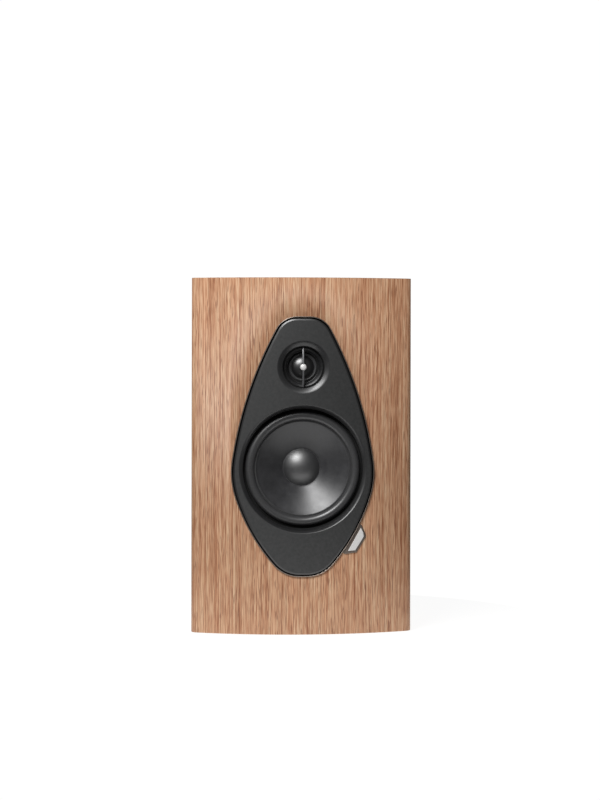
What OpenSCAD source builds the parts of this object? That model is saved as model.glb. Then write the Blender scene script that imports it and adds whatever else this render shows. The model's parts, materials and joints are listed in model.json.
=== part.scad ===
// Two-way bookshelf loudspeaker with a bowed walnut front and a proud, lozenge-shaped driver plate.
// Millimetres. +Z is up, the front faces -Y, and the floor is at z = 0.
// The plan (X, Y) is centred on the cabinet; the front's foremost line is at y = -depth / 2.

/* [Cabinet] */
// Overall height, feet included
height = 440; // [430:1:450]
// Overall depth, from the foremost line of the driver plate to the rear face
depth = 190; // [186:1:200]
// Greatest width, just behind the front corners
width = 273.2; // [270:0.1:276]
// Bend radius of the bowed front
front_r = 348; // [340:1:356]
// Bend radius of the side walls
side_r = 492; // [470:1:520]
// Rounding of the upright front corners
corner_r = 11; // [9:0.5:13]
// Distance from the foremost wood to the widest line
widest_back = 36; // [34:0.5:38]
// Thickness of the side, top, bottom and rear boards
board_t = 16; // [15:0.5:17]
// Thickness of the walnut veneer
veneer_t = 0.6; // [0.5:0.1:0.8]
// Height of the stick-on feet
foot_h = 1.3; // [1:0.1:1.6]

/* [Driver plate] */
// Height of the plate's top edge above the floor
plate_top = 392.1; // [388:0.1:394]
// Height of the plate's bottom edge above the floor
plate_bottom = 72.1; // [70:0.1:76]
// How far the plate's face stands in front of the wood
plate_proud = 3.5; // [3:0.1:4]
// Depth of the flat pocket floor behind the foremost wood
pocket_depth = 21.5; // [21:0.1:22.5]
// Width of the metal trim strip round the plate
trim_w = 1.2; // [1:0.1:1.4]
// Width of the shadow groove inside the trim strip
groove_w = 1.8; // [1.5:0.1:2]

/* [Woofer] */
// Height of the woofer's axis
woofer_z = 204.6; // [203:0.1:206]
// Radius of the opening in the plate at its inner edge
woofer_open_r = 74; // [73.6:0.1:74.2]
// Outer radius of the rubber surround's roll
roll_out_r = 71.2; // [70.8:0.1:71.4]
// Inner radius of the rubber surround's roll
roll_in_r = 59.6; // [59:0.1:60]
// Radius of the dust cap
cap_r = 22.4; // [21:0.1:23]
// Cone depth from its edge to its neck
cone_depth = 27; // [26:0.5:28]

/* [Tweeter] */
// Height of the tweeter's axis
tweeter_z = 329.6; // [328:0.1:331]
// Radius of the opening in the plate at its inner edge
tweeter_open_r = 25.4; // [25.3:0.1:25.6]
// Radius of the silk dome
dome_r = 14.3; // [14:0.1:14.4]
// Height of the silk dome
dome_h = 5.2; // [4.6:0.1:5.4]
// Width of the upright bar in front of the dome
bar_w = 2.6; // [2.2:0.1:3]

/* [Rear panel] */
// Height of the terminal cup's centre
cup_z = 92; // [88:1:100]
// Distance between the two binding posts
post_pitch = 28; // [26:1:30]
// Radius of a binding post's banana socket
socket_r = 2.0; // [2:0.05:2.1]
// Height of the bass port's axis
port_z = 350; // [346:1:354]
// Inside radius of the bass port
port_r = 25; // [23:0.5:26]
// Distance between the two wall-bracket inserts
bracket_pitch = 70; // [60:5:70]

/* [Hidden] */
$fn = 96;
smooth_fn = 360;

// Clearances: glue lines, damping pads, screw holes, and the glued edge of the dust cap
glue = 0.05;
pad_gap = 0.3;
hole_gap = 0.15;
cap_glue = 0.3;

// Cabinet planes
rear_y = depth / 2;
plate_y = -depth / 2;
wood_y = plate_y + plate_proud;
pocket_y = wood_y + pocket_depth;
front_t = 22;
front_back_y = pocket_y + front_t;
rear_in_y = rear_y - board_t;
wood_z0 = foot_h;
wood_z1 = height - veneer_t;
floor_z = wood_z0 + board_t;
brace_z = [283, 295];
brace_window = [[-62, -28], [62, 58]];
foot_places = [[104, -42], [92, 72]];
foot_r = 9;
side_pad_y = [-30, 70];
side_pad_z = [60, 270];
top_pad = [[-80, -30], [80, 65]];
pad_t = 12;

// Centres of the plan's arcs: bowed front, side wall, and the front corner that joins them
front_c = [0, wood_y + front_r];
side_c = [width / 2 - side_r, wood_y + widest_back];
corner_c = circles_meet(front_c, front_r - corner_r, side_c, side_r - corner_r);
front_end_a = heading(corner_c - front_c);
side_start_a = heading(corner_c - side_c);

// Driver plate outline: bend radii from top to bottom, and the heading of the edge at each join
plate_flat = 8;
plate_radii = [29.5, 492, 99, 235];
plate_turns = [0, 61.7, 81.7, 108, 131.5];
plate_wall = 4;
flare_slope = tan(28);
flare_end_y = plate_y + 11.3;
tw_flare_slope = 1.525;
tw_flare_end_y = plate_y + 4;
groove_drop = 4;
trim_proud = 2;
peg_places = [[0, 382], [0, 84], [60, 288], [-60, 288], [45, 115], [-45, 115]];
peg_r = 2.5;
peg_y = [pocket_y - 5, pocket_y + 8];
peg_socket_r = 4.5;
peg_socket_len = 11;
boss_r = 6.5;
badge_corners = [[69, 139], [73, 134.4], [77.2, 125], [78, 120.3], [66.4, 101.6], [52.4, 99.6], [47, 105]];

// Woofer planes, front to back
gasket_t = 1;
flange_t = 4;
flange_r = 82.5;
flange_y = pocket_y - gasket_t - flange_t;
lip_t = 1;
lip_y = flange_y - lip_t;
cone_t = 0.8;
cone_y = lip_y + lip_t - 0.4;
neck_y = cone_y + cone_depth;
roll_t = 0.8;
spider_y = -36;
ledge_y = spider_y + 0.8;
motor_y = -25;
seat_t = 2;
top_plate_y = motor_y + seat_t;
top_plate_t = 6;
magnet_t = 18;
magnet_y = top_plate_y + top_plate_t;
yoke_y = magnet_y + magnet_t;
yoke_t = 6;
former_r = 16.3;
former_t = 0.4;
coil_t = 0.6;
coil_len = 12;
former_end_y = -11;
screw_ring_r = 78;
screw_r = 1.9;
screw_len = 19;
screw_head = [3.6, 2.6];
top_plate_r = 42;
magnet_r = [22, 45];
vent_r = 5;
woofer_hole_r = 72;
cap_join_y = cone_y + 22.2;
cap_h = 10;

// Tweeter planes, front to back
tw_flange_r = 36;
tw_flange_t = 4;
tw_hub_r = tweeter_open_r - 0.3;
tw_rim_y = plate_y + 11.8;
tw_dish_y = tw_rim_y + 3.7;
tw_dome_y = pocket_y - 6.5;
tw_bore_r = 19.1;
tw_seat_r = 17.2;
tw_hole_r = 28;
tw_coil_in_r = 14.05;
tw_coil_out_r = 14.45;
tw_gap_r = 14.9;
tw_pole_r = 13.7;
tw_screw_ring_r = 31.5;
tw_screw_r = 1.6;
tw_screw_len = 16;
tw_screw_head = [3, 1.2];
tw_plate_t = 3;
tw_magnet_t = 7;
tw_yoke_t = 3;
tw_motor_r = 25;
tw_magnet_r = [18, 24.5];
tw_vent_r = 3;
chamber_len = 34;
chamber_wall = 2;

// Crossover board
board_z = 25;
board_h = 1.6;
board_top = board_z + board_h;
board_x = 70;
board_y0 = -30;
board_y1 = 50;
board_hole_in = 6;
board_pin_r = 1.6;
standoff_r = 3.2;

// Rear fittings
cup_w = 78;
cup_h = 48;
cup_wall = 3;
cup_flange = 11;
cup_flange_t = 2.5;
cup_floor_y = 79;
cup_screw_in = 3.5;
cup_screw_r = 1.6;
cup_screw_len = 15;
cup_screw_head = [3.2, 2];
post_x = post_pitch / 2;
stud_r = 3.6;
stud_nut = [7, 4];
cap_hole_r = 4.2;
cap_out_r = 7.5;
washer_r = 6.8;
washer_t = 1.5;
washer_y = cup_floor_y;
cap_y = washer_y + washer_t;
cap_len = 10.5;
stud_y0 = 60;
stud_y1 = 92.5;
socket_len = 19;
port_wall = 2.5;
port_y0 = -12;
port_lip_r = 42;
port_lip_t = 3;
port_flare_r = 11;
bracket_z = 200;
bracket_insert = [5, 14];
bracket_bore = [3, 13];

// Routes of one wire of each pair, from the crossover board to a driver or to the terminals
wire_r = 1.2;
woofer_route = [[8, -30.8, 128.6], [8, -30.8, 112], [12, -28, 82], [22, -26, 55], [28, -24.5, 38],
                [28, -24, 26.6]];
tweeter_route = [[5.4, -27.5, 329.6], [5.4, -20, 329.4], [14, -10, 318], [34, -5, 296], [54, -4, 262],
                 [58, -4, 210], [56, -6, 150], [50, -14, 90], [46, -22, 50], [46, -24, 26.6]];
input_route = [[14, 60, 92], [14, 52, 91], [15, 46, 82], [17, 44, 62], [18, 44, 40], [18, 44, 26.6]];

// Colours
walnut = [0.62, 0.44, 0.33];
board = [0.72, 0.6, 0.45];
black = [0.1, 0.1, 0.1];
charcoal = [0.16, 0.16, 0.17];
steel = [0.72, 0.72, 0.74];
dark_steel = [0.35, 0.35, 0.37];
copper = [0.75, 0.42, 0.25];
gold = [0.85, 0.68, 0.35];

// ---- Plane geometry ----

function heading(v) = atan2(v[1], v[0]);

// The meeting point of two circles that lies to the right and in front
function circles_meet(c0, r0, c1, r1) =
    let (d = norm(c1 - c0), u = (c1 - c0) / d, a = (r0 * r0 - r1 * r1 + d * d) / (2 * d))
    c0 + a * u + sqrt(r0 * r0 - a * a) * [-u[1], u[0]];

// Points of an arc in n steps; first = 1 leaves out the point that the arc before it ended on
function arc_points(c, r, a0, a1, n, first = 0) =
    [for (i = [first:n]) let (a = a0 + (a1 - a0) * i / n) c + r * [cos(a), sin(a)]];

function flipped(points) = [for (i = [len(points) - 1:-1:0]) [-points[i][0], points[i][1]]];

function reversed(points) = [for (i = [len(points) - 1:-1:0]) points[i]];

// Side wall from one depth to another, set in from the outside by inset
function side_line(inset, y0, y1, n) =
    arc_points(side_c, side_r - inset, asin((y0 - side_c[1]) / (side_r - inset)),
               asin((y1 - side_c[1]) / (side_r - inset)), n);

// Right half of the plan from the middle of the front to depth y1, set in by inset
function half_plan(inset, y1) = concat(
    arc_points(front_c, front_r - inset, -90, front_end_a, 40),
    arc_points(corner_c, corner_r - inset, front_end_a, side_start_a, 12, 1),
    arc_points(side_c, side_r - inset, side_start_a, asin((y1 - side_c[1]) / (side_r - inset)), 24, 1));

function joined(half) = concat(half, [for (p = flipped(half)) if (p[0] < -0.001) p]);

function plan(inset, y1) = joined(half_plan(inset, y1));

// Right half of the driver plate's outline, top to bottom, as tangent arcs set in by inset.
// A turn of 0 is straight up, 90 is straight to the right.
function turn_point(a) = [sin(a), cos(a)];

function plate_start(i) = i == 0
    ? [plate_flat, plate_top]
    : plate_start(i - 1) + plate_radii[i - 1] * (turn_point(plate_turns[i]) - turn_point(plate_turns[i - 1]));

function plate_arc(start, r, a0, a1, inset, n, first = 1) =
    [for (i = [first:n]) let (a = a0 + (a1 - a0) * i / n)
        start - r * turn_point(a0) + (r - inset) * turn_point(a)];

function plate_half(inset) =
    let (last = plate_start(4), low_r = (last[1] - plate_bottom) / (1 + cos(plate_turns[4])))
    concat([for (i = [0:3])
               each plate_arc(plate_start(i), plate_radii[i], plate_turns[i], plate_turns[i + 1], inset, 16,
                              i == 0 ? 0 : 1)],
           plate_arc(last, low_r, plate_turns[4], 180, inset, 20));

// ---- Solid helpers ----

// Extrudes a shape drawn in X, Z from y0 back to y1
module upright(y0, y1) {
    translate([0, y1, 0]) rotate([90, 0, 0]) linear_extrude(y1 - y0) children();
}

// Extrudes a shape drawn in plan from z0 up to z1
module level(z0, z1) {
    translate([0, 0, z0]) linear_extrude(z1 - z0) children();
}

module plate_shape(inset) {
    polygon(joined(plate_half(inset)));
}

// Everything behind a bowed surface that stands proud of the wood by proud
module behind_bow(proud) {
    translate([front_c[0], front_c[1], 0]) cylinder(h = height, r = front_r + proud, $fn = smooth_fn);
}

// Cylinder along Y from y0 to y1
module rod(x, z, y0, y1, r) {
    translate([x, y0, z]) rotate([-90, 0, 0]) cylinder(h = y1 - y0, r = r);
}

module ring(z, y0, y1, r_in, r_out) {
    difference() {
        rod(0, z, y0, y1, r_out);
        rod(0, z, y0 - 1, y1 + 1, r_in);
    }
}

// Cone frustum along Y
module taper(z, y0, y1, r0, r1) {
    translate([0, y0, z]) rotate([-90, 0, 0]) cylinder(h = y1 - y0, r1 = r0, r2 = r1);
}

// Hexagonal socket in a screw head whose face is at y
module hex_socket(x, y, r, deep) {
    translate([x, y - 1, 0]) rotate([-90, 0, 0]) cylinder(h = deep + 1, r = r, $fn = 6);
}

// Revolves a profile of [radius, y] points about a horizontal axis at height z
module turned(z, profile) {
    translate([0, 0, z]) rotate([-90, 0, 0]) rotate_extrude() polygon(profile);
}

// Copies the children count times round a horizontal axis at height z
module around(z, count, first = 0) {
    for (i = [0:count - 1])
        translate([0, 0, z]) rotate([0, first + 360 * i / count, 0]) children();
}

module mirrored_pair() {
    children();
    mirror([1, 0, 0]) children();
}

// Smooth curve through hand-picked points, several steps to a span
function spline_point(p, i, t) =
    let (a = p[max(i - 1, 0)], b = p[i], c = p[i + 1], d = p[min(i + 2, len(p) - 1)])
    0.5 * (2 * b + (c - a) * t + (2 * a - 5 * b + 4 * c - d) * t * t
           + (3 * b - a - 3 * c + d) * t * t * t);

function spline(p, steps) = concat(
    [for (i = [0:len(p) - 2]) for (s = [0:steps - 1]) spline_point(p, i, s / steps)], [p[len(p) - 1]]);

function unit(v) = v / norm(v);

// Round wire swept along a path, as one closed polyhedron
module wire(path, r, up = [1, 0, 0], sides = 8) {
    n = len(path);
    rings = [for (i = [0:n - 1])
        let (t = unit(path[min(i + 1, n - 1)] - path[max(i - 1, 0)]), u = unit(cross(t, up)), v = cross(t, u))
        for (k = [0:sides - 1]) let (a = 360 * k / sides) path[i] + r * (cos(a) * u + sin(a) * v)];
    walls = [for (i = [0:n - 2]) for (k = [0:sides - 1]) let (j = (k + 1) % sides)
        [i * sides + j, i * sides + k, (i + 1) * sides + k, (i + 1) * sides + j]];
    first = [for (k = [0:sides - 1]) k];
    last = [for (k = [sides - 1:-1:0]) (n - 1) * sides + k];
    polyhedron(points = rings, faces = concat([first], walls, [last]));
}

// ---- Cabinet ----

module front_panel() {
    color(board) difference() {
        level(wood_z0, wood_z1) polygon(plan(veneer_t + glue, front_back_y));
        upright(wood_y - 1, pocket_y) plate_shape(0);
        rod(0, woofer_z, pocket_y - 1, front_back_y + 1, woofer_hole_r);
        rod(0, tweeter_z, pocket_y - 1, front_back_y + 1, tw_hole_r);
        woofer_screw_shanks();
        tweeter_screw_shanks();
        for (p = peg_places) rod(p[0], p[1], pocket_y - 1, pocket_y + peg_socket_len, peg_socket_r);
    }
}

function side_strip(inset0, inset1, y0, y1) =
    concat(side_line(inset0, y0, y1, 24), reversed(side_line(inset1, y0, y1, 24)));

module side_panel() {
    color(board) level(wood_z0, wood_z1)
        polygon(side_strip(veneer_t + glue, veneer_t + board_t, front_back_y, rear_y));
}

module right_side_panel() { side_panel(); }

module left_side_panel() { mirror([1, 0, 0]) side_panel(); }

// Plan area between the two side panels
module inner_plan(y0, y1) {
    edge = side_line(veneer_t + board_t + glue, y0, y1, 24);
    polygon(concat(edge, flipped(edge)));
}

module top_panel() {
    color(board) level(wood_z1 - board_t, wood_z1) inner_plan(front_back_y, rear_in_y);
}

module bottom_panel() {
    color(black) level(wood_z0, floor_z) inner_plan(front_back_y, rear_in_y);
}

module cup_outline(grow) {
    r = 6 + grow;
    half = [cup_w / 2 + grow - r, cup_h / 2 + grow - r];
    polygon([for (q = [0:3])
        let (corner = [half[0] * (q == 0 || q == 3 ? 1 : -1), cup_z + half[1] * (q < 2 ? 1 : -1)])
        each arc_points(corner, r, 90 * q, 90 * q + 90, 8)]);
}

module cup_screw_places() {
    for (sx = [-1, 1], sz = [-1, 1])
        translate([sx * (cup_w / 2 + cup_screw_in), 0, cup_z + sz * (cup_h / 2 + cup_screw_in)]) children();
}

module rear_panel() {
    color(black) difference() {
        level(wood_z0, wood_z1) inner_plan(rear_in_y, rear_y);
        upright(rear_in_y - 1, rear_y + 1) cup_outline(cup_wall);
        upright(rear_y - cup_flange_t, rear_y + 1) cup_outline(cup_flange);
        cup_screw_places() terminal_screw_shank();
        port_envelope(1);
        for (s = [-0.5, 0.5])
            rod(0, bracket_z + s * bracket_pitch, rear_y - bracket_insert[1], rear_y + 1, bracket_insert[0]);
    }
}

module window_brace() {
    color(board) level(brace_z[0], brace_z[1]) difference() {
        inner_plan(front_back_y, rear_in_y);
        translate(brace_window[0]) square(brace_window[1] - brace_window[0]);
    }
}

// Line round the front from the left rear edge to the right rear edge
function wrap_line(inset) =
    let (half = half_plan(inset, rear_y))
    concat([for (p = flipped(half)) if (p[0] < -0.001) p], half);

module veneer_wrap() {
    color(walnut) difference() {
        level(wood_z0, wood_z1) polygon(concat(wrap_line(0), reversed(wrap_line(veneer_t))));
        upright(wood_y - 1, pocket_y) plate_shape(0);
    }
}

module veneer_top() {
    color(walnut) level(wood_z1, height) polygon(plan(0, rear_y));
}

module damping_pads() {
    pad_in = veneer_t + board_t + pad_gap;
    color(charcoal) {
        mirrored_pair() level(side_pad_z[0], side_pad_z[1])
            polygon(side_strip(pad_in, pad_in + pad_t, side_pad_y[0], side_pad_y[1]));
        level(wood_z1 - board_t - pad_t, wood_z1 - board_t)
            translate(top_pad[0]) square(top_pad[1] - top_pad[0]);
    }
}

module rubber_feet() {
    color(black) mirrored_pair() for (p = foot_places)
        translate([p[0], p[1], 0]) cylinder(h = foot_h, r = foot_r);
}

// ---- Driver plate ----

module insert_hollow() {
    difference() {
        intersection() {
            upright(plate_y - 1, pocket_y + 1) plate_shape(trim_w + groove_w + plate_wall);
            behind_bow(plate_proud - plate_wall);
        }
        rod(0, woofer_z, plate_y - 1, pocket_y + 2, flange_r + 7.5);
        rod(0, tweeter_z, plate_y - 1, pocket_y + 2, tw_flange_r + 4);
        for (p = peg_places) rod(p[0], p[1], plate_y - 1, pocket_y + 2, boss_r);
    }
}

module baffle_insert() {
    face_inset = trim_w + groove_w;
    color(charcoal) difference() {
        union() {
            intersection() {
                upright(plate_y - 1, pocket_y) plate_shape(face_inset);
                behind_bow(plate_proud);
            }
            intersection() {
                upright(plate_y - 1, pocket_y) plate_shape(trim_w + 0.1);
                behind_bow(-groove_drop);
            }
        }
        insert_hollow();
        driver_opening(woofer_z, woofer_open_r, flare_slope, flare_end_y, flange_r + 0.6, flange_y - 3);
        driver_opening(tweeter_z, tweeter_open_r, tw_flare_slope, tw_flare_end_y, tw_flange_r + 0.6,
                       pocket_y - tw_flange_t - 1.5);
        for (p = peg_places) rod(p[0], p[1], peg_y[0], pocket_y + 1, peg_r);
    }
}

// Flared mouth, throat, and a flat recess behind for the driver's flange
module driver_opening(z, r, slope, end_y, recess_r, recess_y) {
    mouth = 1;
    taper(z, plate_y - mouth, end_y, r + (end_y - plate_y + mouth) * slope, r);
    rod(0, z, end_y - 1, pocket_y + 1, r);
    rod(0, z, recess_y, pocket_y + 1, recess_r);
}

module trim_frame() {
    color(steel) intersection() {
        difference() {
            upright(wood_y - 5, pocket_y) plate_shape(0);
            upright(wood_y - 6, pocket_y + 1) plate_shape(trim_w);
        }
        behind_bow(trim_proud);
    }
}

module badge_plate() {
    color(steel) difference() {
        intersection() {
            upright(wood_y - 5, pocket_y) polygon(badge_corners);
            behind_bow(trim_proud);
        }
        behind_bow(0.02);
        upright(wood_y - 6, pocket_y + 1) plate_shape(0);
    }
}

module insert_pegs() {
    color(black) for (p = peg_places) {
        rod(p[0], p[1], peg_y[0], peg_y[1], peg_r);
    }
}

module peg_sockets() {
    color(dark_steel) for (p = peg_places) difference() {
        rod(p[0], p[1], pocket_y, pocket_y + peg_socket_len, peg_socket_r);
        rod(p[0], p[1], pocket_y - 1, peg_y[1], peg_r);
    }
}

// ---- Woofer ----

module woofer_screw_shanks() {
    around(woofer_z, 6, 30) rod(screw_ring_r, 0, flange_y - 1, flange_y + screw_len, screw_r);
}

module woofer_screws() {
    color(dark_steel) {
        around(woofer_z, 6, 30) union() {
            rod(screw_ring_r, 0, flange_y, flange_y + screw_len, screw_r);
            difference() {
                rod(screw_ring_r, 0, flange_y - screw_head[1], flange_y, screw_head[0]);
                hex_socket(screw_ring_r, flange_y - screw_head[1], 1.6, 1.6);
            }
        }
    }
}

module woofer_gasket() {
    color(black) difference() {
        ring(woofer_z, pocket_y - gasket_t, pocket_y, woofer_hole_r, flange_r);
        woofer_screw_shanks();
    }
}

module woofer_basket() {
    ledge_in = 46;
    window_w = 24;
    color(charcoal) difference() {
        turned(woofer_z, [
            [roll_in_r + 6, flange_y], [flange_r, flange_y], [flange_r, flange_y + flange_t],
            [71, flange_y + flange_t], [70, flange_y + flange_t + 3], [57, spider_y - 2],
            [56, spider_y + 3], [48, spider_y + 3], [43, motor_y], [43, top_plate_y],
            [19, top_plate_y], [19, motor_y], [40, motor_y], [ledge_in, ledge_y], [53, ledge_y],
            [54, spider_y - 3], [67, flange_y + flange_t + 2], [67, flange_y + 2],
            [roll_in_r + 6, flange_y + 2]]);
        woofer_screw_shanks();
        around(woofer_z, 6, 30) translate([0, -66, -window_w / 2]) cube([90, 26, window_w]);
    }
}

// Half-roll rubber edge with a glued lip each side
module woofer_surround() {
    mid = (roll_in_r + roll_out_r) / 2;
    r = (roll_out_r - roll_in_r) / 2;
    outer = [for (i = [0:16]) [mid - r * cos(180 * i / 16), lip_y - 0.01 - r * sin(180 * i / 16)]];
    inner = [for (i = [16:-1:0])
        [mid - (r - roll_t) * cos(180 * i / 16), lip_y + 0.2 - (r - roll_t) * sin(180 * i / 16)]];
    lip_in = roll_in_r - 2.2;
    lip_out = screw_ring_r - screw_head[0] - 0.3;
    color(black) turned(woofer_z, concat(
        [[lip_in, cone_y], [lip_in, cone_y - 0.6], [roll_in_r - 0.3, lip_y]], outer,
        [[lip_out, lip_y], [lip_out, flange_y], [roll_out_r - roll_t, flange_y]],
        inner, [[roll_in_r + roll_t, cone_y]]));
}

cone_edge_r = roll_in_r - 0.2;
cone_neck_r = former_r + former_t;
cone_power = 1.12;

// Radius of the cone's front surface by depth: steeper towards the neck
function cone_line(shift, n = 20) = [for (i = [0:n]) let (t = i / n)
    [cone_edge_r - (cone_edge_r - cone_neck_r) * t, cone_y + shift + cone_depth * pow(t, cone_power)]];

module woofer_cone() {
    color(charcoal) turned(woofer_z, concat(cone_line(0), reversed(cone_line(cone_t))));
}

// Depth of the cone's front surface at a radius
function cone_depth_at(r) =
    cone_y + cone_depth * pow((cone_edge_r - r) / (cone_edge_r - cone_neck_r), cone_power);

module dust_cap() {
    rim_y = cone_depth_at(cap_r) - cap_glue;
    ball_r = (cap_r * cap_r + cap_h * cap_h) / (2 * cap_h);
    half_a = asin(cap_r / ball_r);
    dome = [for (i = [0:20]) let (a = half_a * (1 - i / 20))
        [ball_r * sin(a), rim_y - cap_h + ball_r * (1 - cos(a))]];
    under = [for (i = [20:-1:0]) let (a = half_a * (1 - i / 20))
        [(ball_r - 0.5) * sin(a), rim_y - cap_h + ball_r - (ball_r - 0.5) * cos(a)]];
    color(black) turned(woofer_z, concat(dome, under));
}

module coil_former() {
    color(copper) ring(woofer_z, neck_y - 1.5, former_end_y, former_r, former_r + former_t);
}

module woofer_voice_coil() {
    mid = top_plate_y + top_plate_t / 2;
    color(copper) ring(woofer_z, mid - coil_len / 2, mid + coil_len / 2,
                       former_r + former_t, former_r + former_t + coil_t);
}

// Corrugated cloth disc that centres the voice coil
module spider() {
    r0 = former_r + former_t + 0.05;
    r1 = 52.5;
    steps = 48;
    function wave(r) = (r < 20 || r > 46) ? 0 : 1.4 * sin((r - 20) / 26 * 360 * 4);
    front = [for (i = [0:steps]) let (r = r0 + (r1 - r0) * i / steps) [r, spider_y + wave(r)]];
    back = [for (i = [steps:-1:0]) let (r = r0 + (r1 - r0) * i / steps) [r, spider_y + 0.8 + wave(r)]];
    color([0.7, 0.55, 0.3]) turned(woofer_z, concat(front, back));
}

module woofer_top_plate() {
    color(steel) ring(woofer_z, top_plate_y, top_plate_y + top_plate_t, former_r + 1.6, top_plate_r);
}

module woofer_magnet() {
    color(dark_steel) ring(woofer_z, magnet_y, magnet_y + magnet_t, magnet_r[0], magnet_r[1]);
}

module woofer_yoke() {
    color(steel) difference() {
        union() {
            rod(0, woofer_z, yoke_y, yoke_y + yoke_t, top_plate_r);
            rod(0, woofer_z, top_plate_y, yoke_y + 1, former_r - 0.4);
        }
        rod(0, woofer_z, top_plate_y - 1, yoke_y + yoke_t + 1, vent_r);
    }
}

module woofer_terminal_strip() {
    color([0.45, 0.25, 0.12]) translate([-13, spider_y + 3, woofer_z - 68]) cube([26, 1.8, 18]);
}

module tinsel_leads() {
    y0 = cone_depth_at(30) + cone_t;
    color(copper) mirrored_pair()
        wire(spline([[8, y0 + 0.75, woofer_z - 29], [8, -49, woofer_z - 36], [8, -44, woofer_z - 46],
                     [8, -42.5, woofer_z - 56], [8, -38, woofer_z - 62], [8, -33, woofer_z - 62]], 4), 0.5);
}

// ---- Tweeter ----

module tweeter_screw_shanks() {
    front_y = pocket_y - tw_flange_t;
    around(tweeter_z, 3, 90) rod(tw_screw_ring_r, 0, front_y - 1, front_y + tw_screw_len, tw_screw_r);
}

module tweeter_screws() {
    front_y = pocket_y - tw_flange_t;
    color(dark_steel) around(tweeter_z, 3, 90) union() {
        rod(tw_screw_ring_r, 0, front_y, front_y + tw_screw_len, tw_screw_r);
        difference() {
            rod(tw_screw_ring_r, 0, front_y - tw_screw_head[1], front_y, tw_screw_head[0]);
            hex_socket(tw_screw_ring_r, front_y - tw_screw_head[1], 1.2, 0.7);
        }
    }
}

module tweeter_faceplate() {
    flange_front = pocket_y - tw_flange_t;
    dish = [for (i = [0:10]) let (t = i / 10)
        [tw_hub_r - 0.9 - (tw_hub_r - 0.9 - tw_bore_r - 0.2) * t,
         tw_rim_y + (tw_dish_y - tw_rim_y) * (1 - pow(1 - t, 2))]];
    color(black) difference() {
        turned(tweeter_z, concat(
            [[tw_seat_r, pocket_y], [tw_flange_r, pocket_y], [tw_flange_r, flange_front],
             [tw_hub_r, flange_front], [tw_hub_r, tw_rim_y + 0.4], [tw_hub_r - 0.4, tw_rim_y]], dish,
            [[tw_bore_r, tw_dish_y + 0.2], [tw_bore_r, tw_dome_y], [tw_seat_r, tw_dome_y]]));
        tweeter_screw_shanks();
    }
}

module tweeter_surround() {
    mid = (dome_r + 0.3 + tw_seat_r) / 2;
    r = (tw_seat_r - dome_r - 0.3) / 2;
    t = 0.25;
    y = tw_dome_y - t;
    outer = [for (i = [0:12]) [mid - r * cos(15 * i), y - r * sin(15 * i)]];
    inner = [for (i = [12:-1:0]) [mid - (r - t) * cos(15 * i), y - (r - t) * sin(15 * i)]];
    color(black) turned(tweeter_z, concat(
        [[dome_r + 0.02, y + t], [dome_r + 0.02, y]], outer,
        [[tw_bore_r - 0.1, y], [tw_bore_r - 0.1, y + t], [tw_seat_r - t, y + t]], inner,
        [[dome_r + 0.3 + t, y + t]]));
}

module tweeter_dome() {
    ball_r = (dome_r * dome_r + dome_h * dome_h) / (2 * dome_h);
    half_a = asin(dome_r / ball_r);
    apex = tw_dome_y - dome_h;
    t = 0.3;
    dome = [for (i = [0:20]) let (a = half_a * (1 - i / 20)) [ball_r * sin(a), apex + ball_r * (1 - cos(a))]];
    under = [for (i = [20:-1:0]) let (a = half_a * (1 - i / 20))
        [(ball_r - t) * sin(a), apex + ball_r - (ball_r - t) * cos(a)]];
    color([0.08, 0.08, 0.09]) turned(tweeter_z, concat(dome, under));
}

module tweeter_voice_coil() {
    color(copper) ring(tweeter_z, tw_dome_y + 0.2, pocket_y + 4, tw_coil_in_r, tw_coil_out_r);
}

module tweeter_top_plate() {
    color(steel) ring(tweeter_z, pocket_y, pocket_y + tw_plate_t, tw_gap_r, tw_motor_r);
}

module tweeter_magnet() {
    y0 = pocket_y + tw_plate_t;
    color(dark_steel) ring(tweeter_z, y0, y0 + tw_magnet_t, tw_magnet_r[0], tw_magnet_r[1]);
}

module tweeter_yoke() {
    y0 = pocket_y + tw_plate_t + tw_magnet_t;
    color(steel) difference() {
        union() {
            rod(0, tweeter_z, y0, y0 + tw_yoke_t, tw_motor_r);
            rod(0, tweeter_z, pocket_y - 1, y0 + 1, tw_pole_r);
        }
        rod(0, tweeter_z, pocket_y - 2, y0 + tw_yoke_t + 1, tw_vent_r);
    }
}

module tweeter_rear_chamber() {
    color(black) difference() {
        rod(0, tweeter_z, pocket_y, pocket_y + chamber_len, tw_motor_r + glue + chamber_wall);
        rod(0, tweeter_z, pocket_y - 1, pocket_y + chamber_len - chamber_wall, tw_motor_r + glue);
    }
}

// Upright bar on two feet, with a round polished tip at its middle
module phase_bar() {
    bar_y0 = tw_rim_y - 2.2;
    bar_y1 = tw_rim_y;
    reach = tw_hub_r - 0.5;
    tip_r = 4.2;
    tip_y = tw_dome_y - dome_h - 1.1;
    ball_y = tip_y - 1.8;
    tip = concat([[0, tip_y], [tip_r, tip_y]],
                 [for (i = [0:12]) [tip_r * cos(7.5 * i), ball_y - 0.8 * tip_r * sin(7.5 * i)]]);
    color(steel) union() {
        translate([-bar_w / 2, bar_y0, tweeter_z - reach]) cube([bar_w, bar_y1 - bar_y0, 2 * reach]);
        turned(tweeter_z, tip);
    }
}

// ---- Wiring tabs ----

module solder_tabs() {
    chamber_y = pocket_y + chamber_len;
    strip_y = spider_y + 4.8;
    color(gold) mirrored_pair() {
        translate([3, chamber_y, tweeter_z - 0.4]) cube([4.8, 8, 0.8]);
        translate([5.6, strip_y, woofer_z - 76]) cube([4.8, 0.8, 14]);
    }
}

// ---- Crossover ----

module crossover_board() {
    color([0.1, 0.35, 0.2]) difference() {
        translate([-board_x, board_y0, board_z]) cube([2 * board_x, board_y1 - board_y0, board_h]);
        board_corners() translate([0, 0, board_z - 1]) cylinder(h = board_h + 2, r = board_pin_r);
    }
}

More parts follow.
